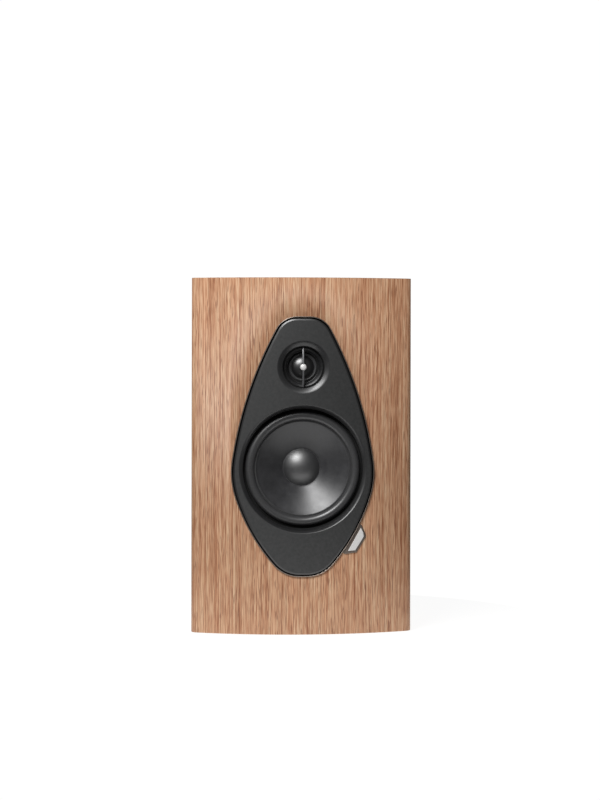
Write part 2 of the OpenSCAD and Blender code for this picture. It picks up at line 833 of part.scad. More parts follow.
module board_corners() {
    for (sx = [-1, 1], y = [board_y0 + board_hole_in, board_y1 - board_hole_in])
        translate([sx * (board_x - board_hole_in), y, 0]) children();
}

module board_supports() {
    color([0.9, 0.9, 0.85]) board_corners() {
        translate([0, 0, floor_z]) cylinder(h = board_z - floor_z, r = standoff_r);
        translate([0, 0, board_z - 1]) cylinder(h = board_h + 2.5, r = board_pin_r);
    }
}

module coil_on_board(x, y, r_in, r_out, h) {
    color(copper) translate([x, y, board_top]) difference() {
        cylinder(h = h, r = r_out);
        translate([0, 0, -1]) cylinder(h = h + 2, r = r_in);
    }
}

module woofer_inductor() { coil_on_board(-35, 18, 10, 22, 20); }

module tweeter_inductor() { coil_on_board(51, 37, 5, 11, 12); }

module can_on_board(x, y, r, length) {
    translate([x, y, board_top + r]) rotate([0, 90, 0]) cylinder(h = length, r = r);
}

module capacitors() {
    color([0.75, 0.1, 0.1]) {
        can_on_board(4, 15, 9, 46);
        can_on_board(14, -2, 7, 36);
    }
}

module resistors() {
    color([0.9, 0.88, 0.8]) for (x = [-56, 8])
        translate([x, -19.5, board_top]) cube([48, 9, 9]);
}

// ---- Internal wiring ----

module wire_pair(route) {
    mirrored_pair() wire(spline(route, 5), wire_r);
}

module woofer_wires() { color([0.7, 0.1, 0.1]) wire_pair(woofer_route); }

module tweeter_wires() { color([0.2, 0.2, 0.6]) wire_pair(tweeter_route); }

module input_wires() { color([0.85, 0.85, 0.85]) wire_pair(input_route); }

// ---- Rear fittings ----

module terminal_screw_shank() {
    rod(0, 0, rear_y - cup_screw_len, rear_y + 1, cup_screw_r + hole_gap);
}

module terminal_screws() {
    head_y = rear_y - cup_screw_head[1];
    color(dark_steel) cup_screw_places() difference() {
        union() {
            rod(0, 0, rear_y - cup_screw_len, head_y, cup_screw_r);
            rod(0, 0, head_y, rear_y, cup_screw_head[0]);
        }
        mirror([0, 1, 0]) hex_socket(0, -rear_y, 1.3, 1.4);
    }
}

module terminal_cup() {
    color(black) difference() {
        union() {
            upright(cup_floor_y - cup_wall, rear_y) cup_outline(cup_wall);
            upright(rear_y - cup_flange_t, rear_y) cup_outline(cup_flange);
        }
        upright(cup_floor_y, rear_y + 1) cup_outline(0);
        cup_screw_places() {
            terminal_screw_shank();
            rod(0, 0, rear_y - cup_screw_head[1], rear_y + 1, cup_screw_head[0]);
        }
        for (s = [-1, 1]) rod(s * post_x, cup_z, cup_floor_y - cup_wall - 1, cup_floor_y + 1, stud_r);
    }
}

module binding_posts() {
    color(gold) for (s = [-1, 1]) difference() {
        rod(s * post_x, cup_z, stud_y0, stud_y1, stud_r);
        rod(s * post_x, cup_z, stud_y1 - socket_len, stud_y1 + 1, socket_r);
    }
}

module post_nuts() {
    back_y = cup_floor_y - cup_wall;
    color(gold) for (s = [-1, 1]) difference() {
        translate([s * post_x, back_y - stud_nut[1], cup_z])
            rotate([-90, 0, 0]) cylinder(h = stud_nut[1], r = stud_nut[0], $fn = 6);
        rod(s * post_x, cup_z, back_y - stud_nut[1] - 1, back_y + 1, stud_r);
    }
}

module clamp_washer(x) {
    color(gold) difference() {
        rod(x, cup_z, washer_y, cap_y - glue, washer_r);
        rod(x, cup_z, washer_y - 1, cap_y + 1, cap_hole_r);
    }
}

// Fluted finger nut, open through its middle
module clamp_cap(x, shade) {
    flutes = 14;
    color(shade) difference() {
        union() {
            rod(x, cup_z, cap_y, cap_y + cap_len - 1, cap_out_r);
            rod(x, cup_z, cap_y, cap_y + cap_len, cap_out_r - 1);
        }
        rod(x, cup_z, cap_y - 1, cap_y + cap_len + 1, cap_hole_r);
        for (i = [0:flutes - 1])
            let (a = 360 * i / flutes, out = cap_out_r + 0.5)
            rod(x + out * cos(a), cup_z + out * sin(a), cap_y + 2, cap_y + cap_len + 1, 1);
    }
}

module clamp_washer_red() { clamp_washer(post_x); }

module clamp_washer_black() { clamp_washer(-post_x); }

module clamp_cap_red() { clamp_cap(post_x, [0.75, 0.05, 0.05]); }

module clamp_cap_black() { clamp_cap(-post_x, [0.05, 0.05, 0.05]); }

// Outside shape of the port, run past the rear face by past
module port_envelope(past) {
    r = port_r + port_wall;
    turned(port_z, [[0, port_y0], [r, port_y0], [r, rear_y - 13], [port_lip_r - 3, rear_y - port_lip_t],
                    [port_lip_r, rear_y - port_lip_t], [port_lip_r, rear_y + past], [0, rear_y + past]]);
}

module port_tube() {
    flare = [for (i = [0:12]) let (a = 7.5 * i)
        [port_r + port_flare_r * (1 - cos(a)), rear_y - port_flare_r + port_flare_r * sin(a)]];
    color(black) difference() {
        port_envelope(0);
        turned(port_z, concat([[0, port_y0 - 1], [port_r, port_y0 - 1]], flare,
                              [[port_r + port_flare_r, rear_y + 1], [0, rear_y + 1]]));
    }
}

module bracket_inserts() {
    color(gold) for (s = [-0.5, 0.5]) difference() {
        rod(0, bracket_z + s * bracket_pitch, rear_y - bracket_insert[1], rear_y, bracket_insert[0]);
        rod(0, bracket_z + s * bracket_pitch, rear_y - bracket_bore[1], rear_y + 1, bracket_bore[0]);
    }
}

front_panel();
left_side_panel();
right_side_panel();
top_panel();
bottom_panel();
rear_panel();
window_brace();
veneer_wrap();
veneer_top();
damping_pads();
rubber_feet();
baffle_insert();
trim_frame();
badge_plate();
insert_pegs();
peg_sockets();
woofer_basket();
woofer_gasket();
woofer_surround();
woofer_cone();
dust_cap();
coil_former();
woofer_voice_coil();
spider();
woofer_top_plate();
woofer_magnet();
woofer_yoke();
woofer_terminal_strip();
tinsel_leads();
woofer_screws();
tweeter_faceplate();
tweeter_surround();
tweeter_dome();
tweeter_voice_coil();
tweeter_top_plate();
tweeter_magnet();
tweeter_yoke();
tweeter_rear_chamber();
phase_bar();
tweeter_screws();
solder_tabs();
crossover_board();
woofer_inductor();
tweeter_inductor();
capacitors();
resistors();
board_supports();
woofer_wires();
tweeter_wires();
input_wires();
terminal_cup();
terminal_screws();
binding_posts();
post_nuts();
clamp_washer_red();
clamp_washer_black();
clamp_cap_red();
clamp_cap_black();
port_tube();
bracket_inserts();
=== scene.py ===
import json
from math import asin, atan2, cos, hypot, pi, radians, sin, sqrt

import bmesh
import bpy
import numpy as np
from mathutils import Matrix, Vector
from mathutils.geometry import delaunay_2d_cdt

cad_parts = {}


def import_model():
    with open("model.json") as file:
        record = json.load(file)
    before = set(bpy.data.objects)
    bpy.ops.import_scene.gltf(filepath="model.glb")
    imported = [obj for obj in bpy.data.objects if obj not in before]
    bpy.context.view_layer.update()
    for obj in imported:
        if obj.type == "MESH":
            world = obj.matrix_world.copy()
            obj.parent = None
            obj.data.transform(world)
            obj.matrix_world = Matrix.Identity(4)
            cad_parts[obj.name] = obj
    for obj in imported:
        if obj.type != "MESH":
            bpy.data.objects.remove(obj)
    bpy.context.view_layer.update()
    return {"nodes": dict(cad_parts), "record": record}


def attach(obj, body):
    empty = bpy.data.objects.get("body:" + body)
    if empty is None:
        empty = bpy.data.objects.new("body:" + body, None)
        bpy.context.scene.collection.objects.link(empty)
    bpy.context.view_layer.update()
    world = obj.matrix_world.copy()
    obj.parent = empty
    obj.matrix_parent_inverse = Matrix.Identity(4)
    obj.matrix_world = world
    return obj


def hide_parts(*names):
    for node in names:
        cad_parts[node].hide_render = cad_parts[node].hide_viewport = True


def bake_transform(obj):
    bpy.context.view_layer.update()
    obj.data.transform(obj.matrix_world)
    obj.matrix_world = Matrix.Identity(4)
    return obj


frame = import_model()
MM = 0.001

# ---- Sizes of the CAD model, in millimetres ----

HEIGHT, WIDTH, REAR_Y = 440.0, 273.2, 95.0
# Foremost line of the wood, floor of the plate's pocket, and the wood's lower and upper ends
WOOD_Y, POCKET_Y = -91.5, -70.0
WOOD_Z0, WOOD_Z1 = 1.3, 439.4
VENEER = 0.6
# Bends of the plan: the front, the sides, and the corners between them
FRONT_R, SIDE_R, CORNER_R = 348.0, 492.0, 11.0
WIDEST_BACK = 36.0
FRONT_CY = WOOD_Y + FRONT_R
SIDE_C = (WIDTH / 2 - SIDE_R, WOOD_Y + WIDEST_BACK)
# Bows of the plate's face, the trim strip's crest, and the floor of the groove between them
FACE_R, TRIM_R, GROOVE_R = FRONT_R + 3.5, FRONT_R + 2.0, FRONT_R - 4.0
# Height of each driver's axis, and the radius of the plate's opening at its inner edge
WOOFER_Z, WOOFER_R = 204.6, 74.0
TWEETER_Z, TWEETER_R = 329.6, 25.4
# The plate's outline: its arcs' radii, the heading at each join, the right end of its flat top
# edge, and its lowest point
PLATE_RADII = [29.5, 492.0, 99.0, 235.0]
PLATE_TURNS = [0.0, 61.7, 81.7, 108.0, 131.5, 180.0]
PLATE_TOP, PLATE_BOTTOM = (8.0, 392.1), 72.1


# ---- Plan of the cabinet ----

def circles_meet(c0, r0, c1, r1):
    """Where two circles meet, to the right and in front."""
    dx, dy = c1[0] - c0[0], c1[1] - c0[1]
    d = hypot(dx, dy)
    ux, uy = dx / d, dy / d
    a = (r0 * r0 - r1 * r1 + d * d) / (2 * d)
    h = sqrt(r0 * r0 - a * a)
    return (c0[0] + a * ux - h * uy, c0[1] + a * uy + h * ux)


CORNER_C = circles_meet((0, FRONT_CY), FRONT_R - CORNER_R, SIDE_C, SIDE_R - CORNER_R)
FRONT_END = atan2(CORNER_C[1] - FRONT_CY, CORNER_C[0])
SIDE_START = atan2(CORNER_C[1] - SIDE_C[1], CORNER_C[0] - SIDE_C[0])


def plan_half(inset, rear=REAR_Y, x_from=None):
    """Right half of the plan as (x, y, nx, ny), from the middle or x_from to the rear."""
    start = -pi / 2 if x_from is None else -pi / 2 + asin(x_from / FRONT_R)
    out = []

    def arc(c, r, a0, a1, n, first):
        for i in range(first, n + 1):
            a = a0 + (a1 - a0) * i / n
            x, y = c[0] + (r - inset) * cos(a), c[1] + (r - inset) * sin(a)
            out.append((x, y, cos(a), sin(a)))

    arc((0, FRONT_CY), FRONT_R, start, FRONT_END, 40, 0)
    arc(CORNER_C, CORNER_R, FRONT_END, SIDE_START, 20, 1)
    arc(SIDE_C, SIDE_R, SIDE_START, asin((rear - SIDE_C[1]) / (SIDE_R - inset)), 30, 1)
    return out


def plan_loop(inset, z):
    half = [(p[0], p[1], z) for p in plan_half(inset, REAR_Y - inset)]
    return half + [(-x, y, z) for x, y, z in reversed(half[1:])]


# ---- Outline of the driver plate ----

def turn(a):
    """Direction (x, z) of a heading in degrees, clockwise from straight up."""
    return sin(radians(a)), cos(radians(a))


def plate_arcs():
    """Right half of the outline: (centre, radius, first turn, last turn) of each arc.

    The last arc takes the radius that brings it down to the plate's lowest point.
    """
    start, out = PLATE_TOP, []
    for r, a0, a1 in zip(PLATE_RADII + [None], PLATE_TURNS, PLATE_TURNS[1:]):
        if r is None:
            r = (start[1] - PLATE_BOTTOM) / (1 + turn(a0)[1])
        centre = (start[0] - r * turn(a0)[0], start[1] - r * turn(a0)[1])
        out.append((centre, r, a0, a1))
        start = (centre[0] + r * turn(a1)[0], centre[1] + r * turn(a1)[1])
    return out


PLATE_ARCS = plate_arcs()


def plate_half(inset, steps=(24, 60, 22, 40, 36)):
    """Right half as (x, z, nx, nz), top to bottom, set in by inset."""
    out = []
    for i, (c, r, a0, a1) in enumerate(PLATE_ARCS):
        for k in range(0 if i == 0 else 1, steps[i] + 1):
            s, t = turn(a0 + (a1 - a0) * k / steps[i])
            out.append((c[0] + (r - inset) * s, c[1] + (r - inset) * t, s, t))
    return out


def plate_loop(inset):
    half = [(x, z) for x, z, _, _ in plate_half(inset)]
    flat = [(x, half[0][1]) for x in (-PLATE_TOP[0] / 2, 0, PLATE_TOP[0] / 2)]
    return flat + half + [(0.0, half[-1][1])] + [(-x, z) for x, z in reversed(half)]


def bowed(x, z, r):
    """The point (x, z) on the upright bow of radius r."""
    return (x, FRONT_CY - sqrt(r * r - x * x), z)


def bow_loop(inset, r):
    return [bowed(x, z, r) for x, z in plate_loop(inset)]


def flat_loop(inset, y):
    return [(x, y, z) for x, z in plate_loop(inset)]


# ---- Mesh helpers ----

# Of a fill: how near its edges a grid point may lie, in spacings, and what counts as one point
FILL_CLEAR, FILL_TOUCH = 0.55, 1e-5
# Points of a piece that are closer than this, in metres, are one point
MERGE = 1e-7


class Mesh:
    """Vertices in millimetres and faces, gathered from lofts, fills and turned profiles."""

    def __init__(self):
        self.verts, self.faces, self.marks = [], [], []

    def use(self, index):
        """Faces made from here on take this material."""
        self.marks.append((len(self.faces), index))

    def add(self, points):
        first = len(self.verts)
        self.verts += list(points)
        return list(range(first, len(self.verts)))

    def skin(self, a, b, closed=True):
        n = len(a)
        for i in range(n if closed else n - 1):
            j = (i + 1) % n
            self.faces.append((a[i], a[j], b[j], b[i]))

    def loft(self, loops):
        rings = [self.add(loop) for loop in loops]
        for a, b in zip(rings, rings[1:]):
            self.skin(a, b)
        return rings

    def cap(self, ring):
        self.faces.append(tuple(ring))

    def turned(self, profile, z, x=0.0, steps=128, flute=None, dark=None):
        """Revolves a closed profile of (radius, y) about a horizontal axis at (x, z).

        flute, if given, makes the radius from (radius, y, angle). The profile's edges from dark[0]
        to before dark[1] take material 1.
        """
        rings = []
        for r, y in profile:
            if r < 1e-6:
                rings.append(self.add([(x, y, z)]))
                continue
            loop = []
            for i in range(steps):
                a = 2 * pi * i / steps
                rr = r if flute is None else flute(r, y, a)
                loop.append((x + rr * sin(a), y, z + rr * cos(a)))
            rings.append(self.add(loop))
        for k, (a, b) in enumerate(zip(rings, rings[1:] + rings[:1])):
            if dark and k in dark:
                self.use(1 if k == dark[0] else 0)
            if len(a) == 1 and len(b) == 1:
                continue
            if len(a) == 1 or len(b) == 1:
                tip, ring = (a[0], b) if len(a) == 1 else (b[0], a)
                for i in range(steps):
                    self.faces.append((tip, ring[i], ring[(i + 1) % steps]))
            else:
                self.skin(a, b)

    def fill(self, outer, holes, spacing, to_3d):
        """Triangulates the region between 2-D loops; outer and holes are (points, ring) pairs."""
        points, owners, edges = [], [], []
        for loop, ring in [outer] + holes:
            first = len(points)
            points += [Vector(p) for p in loop]
            owners += ring
            edges += [(first + i, first + (i + 1) % len(loop)) for i in range(len(loop))]
        fixed = np.array([tuple(p) for p in points])
        low, high = fixed.min(axis=0), fixed.max(axis=0)
        gx, gz = np.meshgrid(np.arange(low[0] + spacing / 2, high[0], spacing),
                             np.arange(low[1] + spacing / 2, high[1], spacing))
        grid = np.stack([gx.ravel(), gz.ravel()], axis=1)
        keep = inside(grid, outer[0])
        for loop, _ in holes:
            keep &= ~inside(grid, loop)
        grid = grid[keep]
        near = np.sqrt(((grid[:, None, :] - fixed[None, :, :]) ** 2).sum(axis=2)).min(axis=1)
        grid = grid[near > FILL_CLEAR * spacing]
        points += [Vector(p) for p in grid]
        ids = owners + self.add([to_3d(float(x), float(z)) for x, z in grid])
        verts, _, tris, origins, _, _ = delaunay_2d_cdt(points, edges, [], 0, FILL_TOUCH)
        middles = np.array([[sum(verts[i][k] for i in t) / 3 for k in (0, 1)] for t in tris])
        ok = inside(middles, outer[0])
        for loop, _ in holes:
            ok &= ~inside(middles, loop)
        for t, good in zip(tris, ok):
            if good:
                self.faces.append(tuple(ids[origins[i][0]] for i in t))


def inside(points, loop):
    """Which of the points lie inside a closed loop."""
    x, y = points[:, 0], points[:, 1]
    result = np.zeros(len(points), bool)
    for (x0, y0), (x1, y1) in zip(loop, list(loop[1:]) + [loop[0]]):
        if y0 == y1:
            continue
        crosses = (y0 > y) != (y1 > y)
        result ^= crosses & (x < (x1 - x0) * (y - y0) / (y1 - y0) + x0)
    return result


def bezier(p0, p1, p2, n):
    """Points of a quadratic curve, both ends included."""
    out = []
    for i in range(n + 1):
        t = i / n
        out.append(tuple((1 - t) ** 2 * a + 2 * t * (1 - t) * b + t * t * c
                         for a, b, c in zip(p0, p1, p2)))
    return out


def rounded(profile, radii, n):
    """A closed 2-D profile with each corner rounded by its own radius, in n steps."""
    out = []
    for i, (p, r) in enumerate(zip(profile, radii)):
        ends = []
        for q in (profile[i - 1], profile[(i + 1) % len(profile)]):
            s = r / hypot(q[0] - p[0], q[1] - p[1])
            ends.append((p[0] + (q[0] - p[0]) * s, p[1] + (q[1] - p[1]) * s))
        out += bezier(ends[0], p, ends[1], n)
    return out


# By default faces marked 1 take gap_black, the near-black painted shade, and faces marked 2 the
# flares' satin
def piece(name, mesh, body, nodes, material, angle=35.0, others=("gap_black", "flare_satin")):
    """Makes the object, riding on body, if it has one, and standing for the CAD nodes.

    Edges bent by more than angle, in degrees, stay sharp. Faces that the mesh marked 1, 2, ...
    take the others in turn.
    """
    data = bpy.data.meshes.new(name)
    data.from_pydata([tuple(c * MM for c in v) for v in mesh.verts], [], mesh.faces)
    data.materials.append(material)
    if mesh.marks:
        for other in others:
            data.materials.append(FINISHES[other])
        ends = mesh.marks[1:] + [(len(mesh.faces), 0)]
        for (first, index), (last, _) in zip(mesh.marks, ends):
            for i in range(first, last):
                data.polygons[i].material_index = index
    bm = bmesh.new()
    bm.from_mesh(data)
    bmesh.ops.remove_doubles(bm, verts=bm.verts, dist=MERGE)
    bmesh.ops.recalc_face_normals(bm, faces=bm.faces)
    bm.to_mesh(data)
    bm.free()
    data.shade_smooth()
    data.set_sharp_from_angle(angle=radians(angle))
    obj = bpy.data.objects.new(name, data)
    bpy.context.scene.collection.objects.link(obj)
    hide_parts(*nodes)
    if body:
        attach(obj, body)
    return obj


# ---- Materials ----

# What nearly all of a noise lies between
NOISE_RANGE = (0.3, 0.7)


def srgb(r, g, b):
    """Linear RGBA of a colour given as 0 to 255 display values."""
    def channel(v):
        v /= 255
        return v / 12.92 if v <= 0.04045 else ((v + 0.055) / 1.055) ** 2.4
    return (channel(r), channel(g), channel(b), 1.0)


class Finish:
    """A procedural material built up from noise, ramps and bump."""

    def __init__(self, name, **constants):
        self.material = bpy.data.materials.new(name)
        self.material.use_nodes = True
        self.tree = self.material.node_tree
        self.tree.nodes.clear()
        out = self.tree.nodes.new("ShaderNodeOutputMaterial")
        self.shader = self.tree.nodes.new("ShaderNodeBsdfPrincipled")
        self.tree.links.new(self.shader.outputs[0], out.inputs[0])
        self.coords = self.tree.nodes.new("ShaderNodeTexCoord").outputs["Object"]
        for key, value in constants.items():
            self.shader.inputs[key.replace("_", " ")].default_value = value

    def link(self, value, target):
        if isinstance(value, (int, float, tuple)):
            target.default_value = value
        else:
            self.tree.links.new(value, target)

    def into(self, socket, value):
        self.link(value, self.shader.inputs[socket])

    def mapped(self, scale, offset=(0, 0, 0), coords=None):
        node = self.tree.nodes.new("ShaderNodeMapping")
        self.tree.links.new(coords or self.coords, node.inputs["Vector"])
        node.inputs["Scale"].default_value = scale
        node.inputs["Location"].default_value = offset
        return node.outputs[0]

    def noise(self, scale, detail=2.0, roughness=0.5, distortion=0.0, offset=(0, 0, 0),
              coords=None):
        scale = scale if isinstance(scale, tuple) else (scale,) * 3
        node = self.tree.nodes.new("ShaderNodeTexNoise")
        self.tree.links.new(self.mapped(scale, offset, coords), node.inputs["Vector"])
        for key, value in (("Scale", 1.0), ("Detail", detail), ("Roughness", roughness),
                           ("Distortion", distortion)):
            node.inputs[key].default_value = value
        return node.outputs["Fac"]

    def cell_edges(self, scale):
        """Distance to the nearest edge of a field of cells."""
        node = self.tree.nodes.new("ShaderNodeTexVoronoi")
        node.feature = "DISTANCE_TO_EDGE"
        node.inputs["Scale"].default_value = 1.0
        self.tree.links.new(self.mapped((scale,) * 3), node.inputs["Vector"])
        return node.outputs["Distance"]

    def math(self, operation, a, b=0.0):
        node = self.tree.nodes.new("ShaderNodeMath")
        node.operation = operation
        self.link(a, node.inputs[0])
        self.link(b, node.inputs[1])
        return node.outputs[0]

    def spread(self, value, low, high, to_low, to_high):
        """Maps low..high of the value to to_low..to_high, clamped."""
        node = self.tree.nodes.new("ShaderNodeMapRange")
        self.link(value, node.inputs["Value"])
        for key, v in (("From Min", low), ("From Max", high),
                       ("To Min", to_low), ("To Max", to_high)):
            node.inputs[key].default_value = v
        return node.outputs[0]

    def ramp(self, value, stops):
        node = self.tree.nodes.new("ShaderNodeValToRGB")
        self.tree.links.new(value, node.inputs[0])
        elements = node.color_ramp.elements
        while len(elements) < len(stops):
            elements.new(0.5)
        for element, (place, colour) in zip(elements, stops):
            element.position = place
            element.color = colour
        return node.outputs[0]

    def mix(self, factor, a, b, blend="MIX"):
        node = self.tree.nodes.new("ShaderNodeMix")
        node.data_type = "RGBA"
        node.blend_type = blend
        self.link(factor, node.inputs["Factor"])
        self.link(a, node.inputs[6])
        self.link(b, node.inputs[7])
        return node.outputs[2]

    def axes(self):
        node = self.tree.nodes.new("ShaderNodeSeparateXYZ")
        self.tree.links.new(self.coords, node.inputs[0])
        return node.outputs

    def vector(self, x, y, z):
        node = self.tree.nodes.new("ShaderNodeCombineXYZ")
        for i, value in enumerate((x, y, z)):
            self.link(value, node.inputs[i])
        return node.outputs[0]

    def bump(self, height, distance, strength=1.0):
        node = self.tree.nodes.new("ShaderNodeBump")
        node.inputs["Strength"].default_value = strength
        node.inputs["Distance"].default_value = distance
        self.tree.links.new(height, node.inputs["Height"])
        self.tree.links.new(node.outputs[0], self.shader.inputs["Normal"])


def speckled(name, dark, light, scale, roughness, bump_mm, bump_scale=None, **constants):
    """The usual finish: two tones mottled at one scale, varied roughness, and a fine bump."""
    f = Finish(name, **constants)
    mottle = f.noise(scale, 3.0)
    f.into("Base Color", f.ramp(mottle, [(0.32, srgb(*dark)), (0.68, srgb(*light))]))
    f.into("Roughness", f.spread(f.noise(scale, 2.0, offset=(3, 5, 7)), *NOISE_RANGE, *roughness))
    f.bump(f.noise(bump_scale or 2 * scale, 2.0, offset=(9, 2, 4)), bump_mm * MM)
    return f.material


def walnut(name, along):
    """Open-pore walnut veneer; along is the axis the grain runs on."""
    f = Finish(name, IOR=1.45)

    def stretch(across, length):
        return (across, across, length) if along == "Z" else (across, length, across)

    sway = f.noise(stretch(9.0, 4.0), 1.0)
    shift = f.spread(sway, *NOISE_RANGE, -0.0009, 0.0009)
    axes = f.axes()
    coords = f.vector(f.math("ADD", axes[0], shift), axes[1], axes[2])
    bands = f.noise(stretch(60.0, 1.2), 2.0, coords=coords)
    streaks = f.noise(stretch(600.0, 5.0), 3.0, 0.7, coords=coords, offset=(2, 4, 1))
    fibre = f.noise(stretch(1700.0, 42.0), 2.0, coords=coords, offset=(7, 1, 5))
    tone = f.math("ADD", f.math("MULTIPLY", bands, 0.1), f.math("MULTIPLY", streaks, 0.46))
    tone = f.math("ADD", tone, f.math("MULTIPLY", fibre, 0.44))
    colour = f.ramp(tone, [(0.4, srgb(146, 97, 67)), (0.465, srgb(181, 132, 99)),
                           (0.525, srgb(202, 159, 126)), (0.6, srgb(218, 185, 151))])
    rosy = f.noise(stretch(260.0, 2.0), 2.0, coords=coords, offset=(6, 3, 8))
    rosy = f.spread(rosy, 0.42, 0.58, 0.0, 1.0)
    colour = f.mix(rosy, colour, f.mix(1.0, colour, (0.995, 0.93, 0.9, 1.0), "MULTIPLY"))
    pore = f.noise(stretch(900.0, 55.0), 1.0, coords=coords, offset=(1, 8, 3))
    pores = f.spread(pore, 0.58, 0.67, 0.0, 1.0)
    patch = f.spread(f.noise(stretch(120.0, 9.0), 1.0, offset=(5, 5, 9)), 0.4, 0.6, 0.35, 0.75)
    pores = f.math("MULTIPLY", pores, patch)
    f.into("Base Color", f.mix(pores, colour, srgb(124, 80, 58)))
    f.into("Roughness", f.spread(streaks, *NOISE_RANGE, 0.56, 0.46))
    grain = f.math("SUBTRACT", f.math("MULTIPLY", fibre, 0.5), f.math("MULTIPLY", pores, 0.6))
    f.bump(grain, 0.06 * MM, 0.6)
    return f.material


def leather_plate():
    """Charcoal plate with a fine leather-like grain."""
    f = Finish("plate_leather", IOR=1.6)
    wrinkles = f.cell_edges(760.0)
    fine = f.noise(1900.0, 2.0)
    soft = f.noise(260.0, 3.0, 0.6)
    tone = f.math("ADD", f.math("MULTIPLY", soft, 0.7), f.math("MULTIPLY", fine, 0.3))
    f.into("Base Color", f.ramp(tone, [(0.3, srgb(42, 43, 43)), (0.7, srgb(64, 64, 64))]))
    f.into("Roughness", f.spread(soft, *NOISE_RANGE, 0.55, 0.44))
    height = f.math("ADD", f.spread(wrinkles, 0.0, 0.25, 0.0, 1.0), f.math("MULTIPLY", fine, 0.4))
    f.bump(height, 0.05 * MM, 0.7)
    return f.material


def cone_paper():
    """Coated pulp: a soft mottle with short fibres."""
    f = Finish("cone_paper", IOR=1.8)
    clouds = f.noise(110.0, 4.0, 0.65)
    fibres = f.noise((900.0, 300.0, 900.0), 3.0, 0.7, 0.6)
    tone = f.math("ADD", f.math("MULTIPLY", clouds, 0.65), f.math("MULTIPLY", fibres, 0.35))
    f.into("Base Color", f.ramp(tone, [(0.3, srgb(38, 38, 40)), (0.7, srgb(62, 62, 64))]))
    f.into("Roughness", f.spread(clouds, *NOISE_RANGE, 0.38, 0.44))
    f.bump(fibres, 0.05 * MM, 0.5)
    return f.material


def satin_metal(name, dark, light, roughness, scale, metallic=1.0):
    """Metal with a very fine blasted surface."""
    f = Finish(name, Metallic=metallic)
    grit = f.noise(scale, 3.0, 0.6)
    f.into("Base Color", f.ramp(grit, [(0.3, srgb(*dark)), (0.7, srgb(*light))]))
    f.into("Roughness", f.spread(grit, *NOISE_RANGE, *roughness))
    f.bump(grit, 0.008 * MM)
    return f.material


def winding(name, along, dark, light):
    """Enamelled wire laid turn on turn along an axis."""
    wire = 0.9 * MM
    f = Finish(name, Metallic=0.85)
    place = f.math("MULTIPLY", f.axes()["XYZ".index(along)], 2 * pi / wire)
    turns = f.spread(f.math("SINE", place), -1.0, 1.0, 0.0, 1.0)
    tone = f.math("ADD", f.math("MULTIPLY", turns, 0.7), f.math("MULTIPLY", f.noise(300.0), 0.3))
    f.into("Base Color", f.ramp(tone, [(0.1, srgb(*dark)), (0.6, srgb(*light))]))
    f.into("Roughness", f.spread(turns, 0.0, 1.0, 0.45, 0.28))
    f.bump(turns, 0.2 * MM)
    return f.material


def woven(name, dark, light, pitch, roughness):
    """Cloth with a plain weave in the X-Z plane, its threads pitch metres apart."""
    f = Finish(name)
    axes = f.axes()
    threads = []
    for axis in (axes[0], axes[2]):
        wave = f.math("SINE", f.math("MULTIPLY", axis, 2 * pi / pitch))
        threads.append(f.spread(wave, -1.0, 1.0, 0.0, 1.0))
    weave = f.math("MAXIMUM", threads[0], threads[1])
    tone = f.math("ADD", f.math("MULTIPLY", weave, 0.6), f.math("MULTIPLY", f.noise(500.0), 0.4))
    f.into("Base Color", f.ramp(tone, [(0.2, srgb(*dark)), (0.9, srgb(*light))]))
    f.into("Roughness", f.spread(weave, 0.0, 1.0, roughness[1], roughness[0]))
    f.bump(weave, 0.03 * MM, 0.6)
    return f.material


